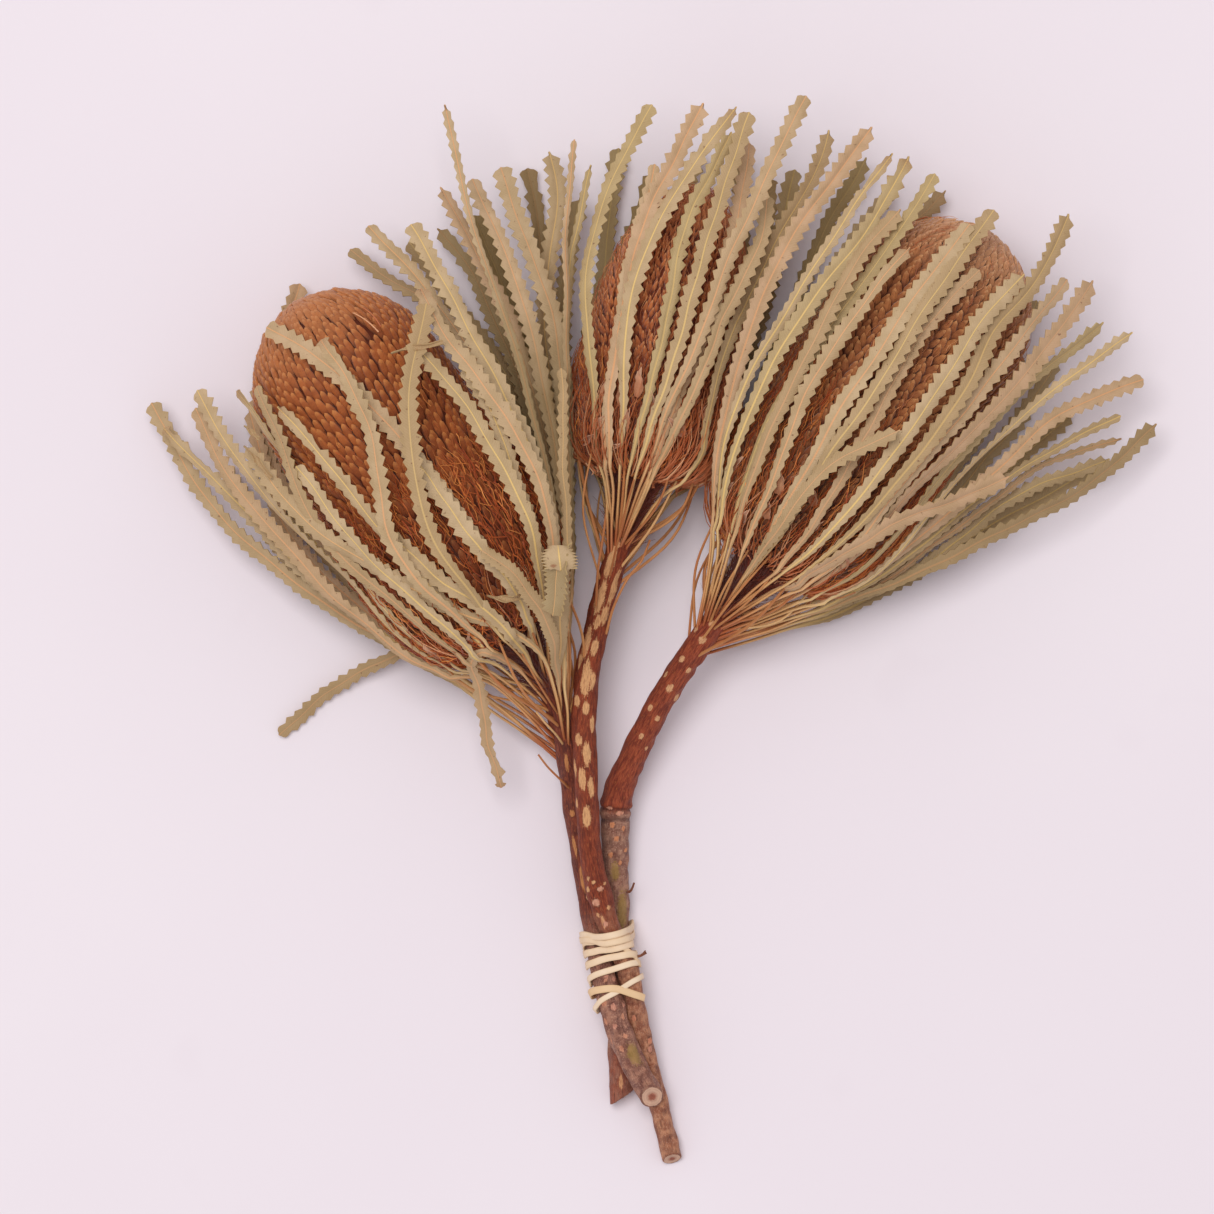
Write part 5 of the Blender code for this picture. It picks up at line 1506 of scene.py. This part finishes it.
# curled scraps of dead leaf: pixel across, down and height along each, and half width in mm
scraps = [
    ([(394, 356, 84), (408, 352, 86), (426, 349, 87), (445, 345, 86)], 1.1),
    ([(489, 596, 76), (500, 599, 78), (514, 598, 78), (526, 594, 74)], 1.3),
    ([(247, 427, 64), (254, 433, 66), (262, 441, 66)], 0.9),
    ([(246, 447, 58), (257, 459, 61), (266, 469, 62), (273, 479, 61)], 1.0),
]


def buildScraps():
    own = random.Random(517)
    parts = []
    for guides, half in scraps:
        line = smoothLine([place(*guide) for guide in guides], 0.9 * mm)
        run = tangents(line)
        aside = unit(np.cross(run, up))
        over = np.cross(aside, run)
        rows = []
        for t, centre, side, rise in zip(np.linspace(0, 1, len(line)), line, aside, over):
            wide = half * (0.35 + 0.65 * math.sin(math.pi * (0.1 + 0.8 * t))) * own.uniform(0.8, 1.15)
            turn = 1.2 * math.sin(5 * t + half) + 0.4
            row = []
            for u in np.linspace(-1, 1, 7):
                bend = 1.1 * u
                flat = math.sin(bend) * wide
                lift = (1 - math.cos(bend)) * wide
                row.append(centre + (side * (flat * math.cos(turn) - lift * math.sin(turn))
                                     + rise * (flat * math.sin(turn) + lift * math.cos(turn))) * mm)
            rows.append(row)
        points = np.array(rows)
        tints = np.zeros(points.shape[:2] + (4,))
        tints[..., 0] = 0.5
        tints[..., 3] = 0.5
        wearAndShade = np.zeros_like(tints)
        wearAndShade[..., 0] = 0.55
        wearAndShade[..., 3] = 0.1
        uvs = np.broadcast_arrays(np.linspace(1, 3, 7)[None], np.arange(len(line))[:, None] * 0.9)
        uvs = np.stack(uvs, axis=-1)
        parts.append(gridSheet("scrap", points, uvs, {"leafTint": tints, "leafWearAndShade": wearAndShade}, leafFinishes))
    return parts


# the folded leaf's tip, curled over its own fold
def buildCurledTip():
    rows = []
    across = (-1, -0.8, -0.45, -0.06, 0, 0.06, 0.45, 0.8, 1)
    shares = np.linspace(0, 1, 17)
    for number, t in enumerate(shares):
        centre = place(561.5 - 3 * t, 571 - 25 * t, 91.8 + 1.8 * math.sin(math.pi * t) - 1.5 * t ** 3)
        half = (5.2 + 1.1 * math.sin(math.pi * t)) * (1 - 0.5 * t ** 5) * mm
        row = []
        for u in across:
            tooth = (0.84, 1.16)[number % 2] if abs(u) == 1 else 1
            nib = (1.3 * abs(u) ** 3 + 0.5 * math.sin(9 * u)) * (t == 0) * mm
            row.append(centre + [u * half * tooth, nib, (0.5 * abs(u) - 1.7 * u * u) * mm])
        rows.append(row)
    points = np.array(rows)
    tints = np.zeros(points.shape[:2] + (4,))
    tints[..., 0] = 0.25
    tints[..., 1] = 0.3
    tints[:, (0, -1), 3] = 1
    wearAndShade = np.zeros_like(tints)
    u, t = np.meshgrid(across, shares)
    wearAndShade[..., 0] = 1.2 * np.exp(-((u + 0.45) / 0.25) ** 2 - ((t - 0.18) / 0.08) ** 2) + 0.5 * (t < 0.05)
    wearAndShade[..., 2] = np.abs(u)
    wearAndShade[..., 3] = 0.32
    uvs = np.stack([u * 6, 40 + t * 9.5], axis=-1)
    return gridSheet("curledTip", points, uvs, {"leafTint": tints, "leafWearAndShade": wearAndShade}, leafFinishes)


# how much a leaf lies in the shade of those above it
def leafDim(side, number):
    if side == "left" and number in (*range(23, 32), 33, 34, 35):
        return 0.85
    return 0.3 if side == "middle" and number > 9 else 0


def buildLeaves(side):
    stem = stemLine(side, 10 * mm)
    draw = random.Random(leaf["seed"] + len(side))
    own = random.Random(300 + len(side))
    rows = leafRows[side] + [row for fan in fans[side] for row in blendedLeaves(fan, draw)]
    if side == "left":
        rows.append(foldedLeaf)
    parts = []
    for number, row in enumerate(rows):
        folded = row is foldedLeaf
        fine = folded or row is curledLeaf
        roll = draw.uniform(-leaf["roll"], leaf["roll"])
        line = leafLine(side, stem, row, leaf["layer"] * (number % leaf["layers"]), roll, folded)
        width = leaf["foldedWidth"] if folded else row[1]
        roll *= 0.2 if folded else 1
        parts.append(buildLeaf(heads[side], line, width, roll, folded, fine, leafDim(side, number), own))
    count = len(parts)
    if side == "left":
        parts += buildScraps() + [buildCurledTip()]
    leaves = joined("leaves" + side.title(), parts)
    thicken(leaves, leaf["thickness"], True)
    finishPiece(leaves, "leafy_stem_" + side, "dried_leaf")
    print("leaves", side, count, len(leaves.data.polygons))


for side in sides:
    buildLeaves(side)


# tie band

def makeBandFinish():
    made, graph, shader = newMaterial("elasticTan")
    sheet = graph.sheet()
    aged, outer, _, _ = graph.colors("bandTint")
    pale = graph.mix(aged, tone(240, 216, 188), tone(230, 192, 146))
    spot = graph.group(mottle, {
        "Vector": sheet, "Color": pale, "Second": graph.mix(0.35, pale, tone(222, 188, 140)),
        "Speck": tone(206, 164, 116), "Scale": 0.2, "Spread": 0.6, "Speck Amount": 0.2,
    })
    rib = graph.noise(graph.drawnOut(sheet, 0.05), 3.0, 3.0, 0.6)
    color = graph.mix(graph.between(rib, 0.5, 0.75, 0.15), spot["Color"], tone(214, 176, 126))
    color = graph.mix(graph.times(outer, 0.4), color, tone(214, 172, 118))
    graph.feed(shader, "Base Color", color)
    height = graph.plus(rib, graph.times(spot["Height"], 0.5))
    raised = graph.node("ShaderNodeBump", {"Height": height, "Strength": 0.2, "Distance": 0.3 * mm})
    graph.feed(shader, "Normal", raised.outputs[0])
    graph.feed(shader, "Roughness", graph.node("ShaderNodeMapRange", {0: rib, 3: 0.5, 4: 0.68}).outputs[0])
    return made


# each pass over the top from left to right: pixels, lift off the stems, width in mm, how yellow
band = dict(
    thickness=0.7 * mm, gap=0.5 * mm, step=0.9 * mm,
    passes=[
        ([(583, 938), (604, 943), (618, 947), (629, 953), (634, 958), (641, 971)], 0.1, 1.7, 0.6),
        ([(583, 944.5), (594, 944), (606, 941), (618, 938), (633, 937)], 0.35, 2.2, 0.3),
        ([(582, 935), (597, 938.5), (606, 938), (617, 935.6), (626.6, 932), (634, 927)], 0.8, 2.6, 0.2),
        ([(584, 940.5), (597, 942), (606, 945), (617, 943), (629, 939.5), (634, 937)], 1.15, 2.5, 0.35),
        ([(585, 955.5), (595, 953.5), (601, 951.5), (609, 951), (618, 949.5), (627, 946.5), (634, 946)],
         0.5, 2.7, 0.3),
        ([(586, 968), (594, 964.5), (603, 961), (610.5, 959), (620, 957.5), (629, 955.5), (637, 958)],
         0.5, 2.7, 0.3),
        ([(587, 987), (591, 980), (596, 976.5), (603, 974), (614, 970.8), (625, 967), (632, 964.7),
          (638, 965)], 0.3, 2.4, 0.1),
        ([(592, 1014), (597, 1009), (601, 1002.5), (609, 997.5), (617, 993.5), (625, 988), (633, 983),
          (641, 979)], 0.2, 2.1, 0.0),
        ([(587, 997.5), (597, 992), (609, 990), (617, 990.8), (626, 993.8), (636.5, 997.6), (647, 1003)],
         0.95, 2.8, 0.9),
    ],
)


def bandPoint(lines, down, turn):
    wanted = place(0, down, 0)[1]
    rows = [rowsAt(line, -line[:, 1], [-wanted])[0] for line in lines]
    way = unit(sum(row[4:] for row in rows))
    out = np.array([math.cos(turn), 0, math.sin(turn)])
    out = unit(out - way * (out @ way))
    reach = [row[:3] @ out + row[3] for row in rows]
    furthest = rows[int(np.argmax(reach))]
    return furthest[:3] + out * (furthest[3] + band["gap"]), out, way


# one pass over the top: points on the stems below the guide, drawn tight across the gaps between them
def bandPass(lines, guides, lift):
    acrosses, downs = zip(*guides)
    middle = (acrosses[-1] + acrosses[0]) / 2
    half = (acrosses[-1] - acrosses[0]) / 2 - (band["thickness"] + lift * mm) / pixel
    spread = np.linspace(-1, 1, 70)
    wanted = middle + half * np.sin(spread * math.pi / 2)
    spots = np.array([place(across, np.interp(across, acrosses, downs), 0) for across in wanted])
    ways = []
    for spot in spots:
        tops, way, beside = [], 0, []
        for line in lines:
            nearest = line[int(np.argmin(np.linalg.norm(line[:, :2] - spot[:2], axis=1)))]
            apart, radius = np.linalg.norm(nearest[:2] - spot[:2]), nearest[3] + band["gap"]
            beside.append((apart - radius, nearest[2]))
            if apart < radius:
                tops.append(nearest[2] + math.sqrt(radius ** 2 - apart ** 2))
            way = way + nearest[4:]
        spot[2] = max(tops) if tops else min(beside)[1]
        ways.append(unit(way))
    far = walked(spots * [1, 1, 0])
    tight = [0]
    for number in range(1, len(spots)):
        while len(tight) > 1:
            a, b = tight[-2:]
            rise, wholeRise = spots[b, 2] - spots[a, 2], spots[number, 2] - spots[a, 2]
            if rise * (far[number] - far[a]) > wholeRise * (far[b] - far[a]):
                break
            tight.pop()
        tight.append(number)
    spots[:, 2] = np.interp(far, far[tight], spots[tight, 2])
    return spots, unit(np.cross(np.array(ways), tangents(spots)))


# the whole wound strip: rows of point, outward way, lift, width and age
def bandOutline():
    lines = []
    for side in sides:
        line = stemLine(side, 2 * mm)
        lines.append(np.hstack([line, tangents(line[:, :3])]))
    outline = []
    for number, (guides, lift, width, aged) in enumerate(band["passes"]):
        looks = [lift * mm, width * mm, aged]
        for point, out in zip(*bandPass(lines, guides, lift)):
            outline.append(np.concatenate([point, out, looks]))
        if number + 1 < len(band["passes"]):
            nextGuides, nextLift, nextWidth, nextAged = band["passes"][number + 1]
            nextLooks = [nextLift * mm, nextWidth * mm, nextAged]
            for share in np.linspace(0, 1, 30)[1:-1]:
                backDown = guides[-1][1] * (1 - share) + nextGuides[0][1] * share
                point, out, _ = bandPoint(lines, backDown, -math.pi * share)
                blend = np.array(looks) * (1 - share) + np.array(nextLooks) * share
                outline.append(np.concatenate([point, out, blend]))
    outline = np.array(outline)
    far = walked(outline)
    keep = np.concatenate([[True], np.diff(far) > 1e-7])
    outline = rowsAt(outline[keep], far[keep], np.arange(0, far[-1], band["step"]))
    for _ in range(2):
        outline[1:-1] = (outline[:-2] + 2 * outline[1:-1] + outline[2:]) / 4
    return outline


def buildBand():
    outline = bandOutline()
    outs = unit(outline[:, 3:6])
    middles = outline[:, :3] + outs * outline[:, 6:7]
    run = tangents(middles)
    ways = unit(np.cross(run, outs))
    outs = np.cross(ways, run)
    half, thick = outline[:, 7:8] / 2, band["thickness"]
    corners = [
        (-1, 0.2), (-0.9, 0), (0, 0), (0.9, 0), (1, 0.2), (1, 0.8), (0.88, 1), (0.45, 1.04), (0, 1.06),
        (-0.45, 1.04), (-0.88, 1), (-1, 0.8), (-1, 0.2),
    ]
    rows = [middles + ways * half * aside + outs * thick * rise for aside, rise in corners]
    points = np.stack(rows, axis=1)
    first, last = points[0].mean(axis=0), points[-1].mean(axis=0)
    points = np.concatenate([[points[0] * 0 + first], points, [points[0] * 0 + last]])
    along = walked(middles) / mm
    along = np.concatenate([[0], along, [along[-1]]])
    uvs = np.stack(np.broadcast_arrays(np.linspace(0, 6.5, len(corners))[None], along[:, None]), axis=-1)
    tints = np.zeros(points.shape[:2] + (4,))
    tints[1:-1, :, 0] = outline[:, 8:9]
    tints[..., 1] = np.array([1, 0.4, 0, 0.4, 1, 1, 0.5, 0, 0, 0, 0.5, 1, 1])[None]
    strip = gridSheet("tieBand", points, uvs, {"bandTint": tints}, [makeBandFinish()])
    closeSeams(strip)
    finishPiece(strip, "tie_band", "elastic")
    print("band", len(strip.data.polygons))


buildBand()


# floor, light and camera

def makeFloorFinish():
    made, graph, shader = newMaterial("paperFloor")
    spot = graph.group(mottle, {
        "Vector": graph.node("ShaderNodeTexCoord").outputs["Object"],
        "Color": tone(238, 229, 234), "Second": tone(235, 225, 231), "Speck": tone(230, 219, 225),
        "Scale": 3.0, "Spread": 0.6, "Speck Amount": 0.2,
    })
    graph.feed(shader, "Base Color", spot["Color"])
    span = graph.node("ShaderNodeMapRange", {0: spot["Height"], 3: 0.75, 4: 0.9})
    graph.feed(shader, "Roughness", span.outputs[0])
    return made


bpy.ops.object.select_all(action="DESELECT")
bpy.ops.mesh.primitive_plane_add(size=6)
floor = bpy.context.object
floor.name = "floor"
floor.data.materials.append(makeFloorFinish())

light = dict(key=(-0.7, 0.8, 4.2), keySize=2.4, keyPower=102, worldTone=(240, 236, 240), worldStrength=0.61)


def addLight(name, where, size, power):
    bpy.ops.object.light_add(type="AREA", location=where)
    lamp = bpy.context.object
    lamp.name = name
    lamp.data.shape = "DISK"
    lamp.data.size = size
    lamp.data.energy = power
    aim = -np.array(where) / np.linalg.norm(where)
    lamp.rotation_euler = (math.acos(-aim[2]), 0, math.atan2(aim[1], aim[0]) - math.pi / 2)


addLight("keyLight", light["key"], light["keySize"], light["keyPower"])
world = bpy.data.worlds.new("softRoom")
world.use_nodes = True
glow = world.node_tree.nodes["Background"].inputs
glow["Color"].default_value = tone(*light["worldTone"])
glow["Strength"].default_value = light["worldStrength"]
bpy.context.scene.world = world
bpy.context.scene.view_settings.view_transform = "Standard"

camera = dict(
    height=4.0, photoCentre=(607, 607), frameWidth=1214 * pixel, scaleHeight=0.04, sensor=36, furthest=20,
)
bpy.ops.object.camera_add(location=place(*camera["photoCentre"], camera["height"] / mm), rotation=(0, 0, 0))
eye = bpy.context.object
eye.data.sensor_width = camera["sensor"]
eye.data.lens = camera["sensor"] * (camera["height"] - camera["scaleHeight"]) / camera["frameWidth"]
eye.data.clip_end = camera["furthest"]
bpy.context.scene.camera = eye
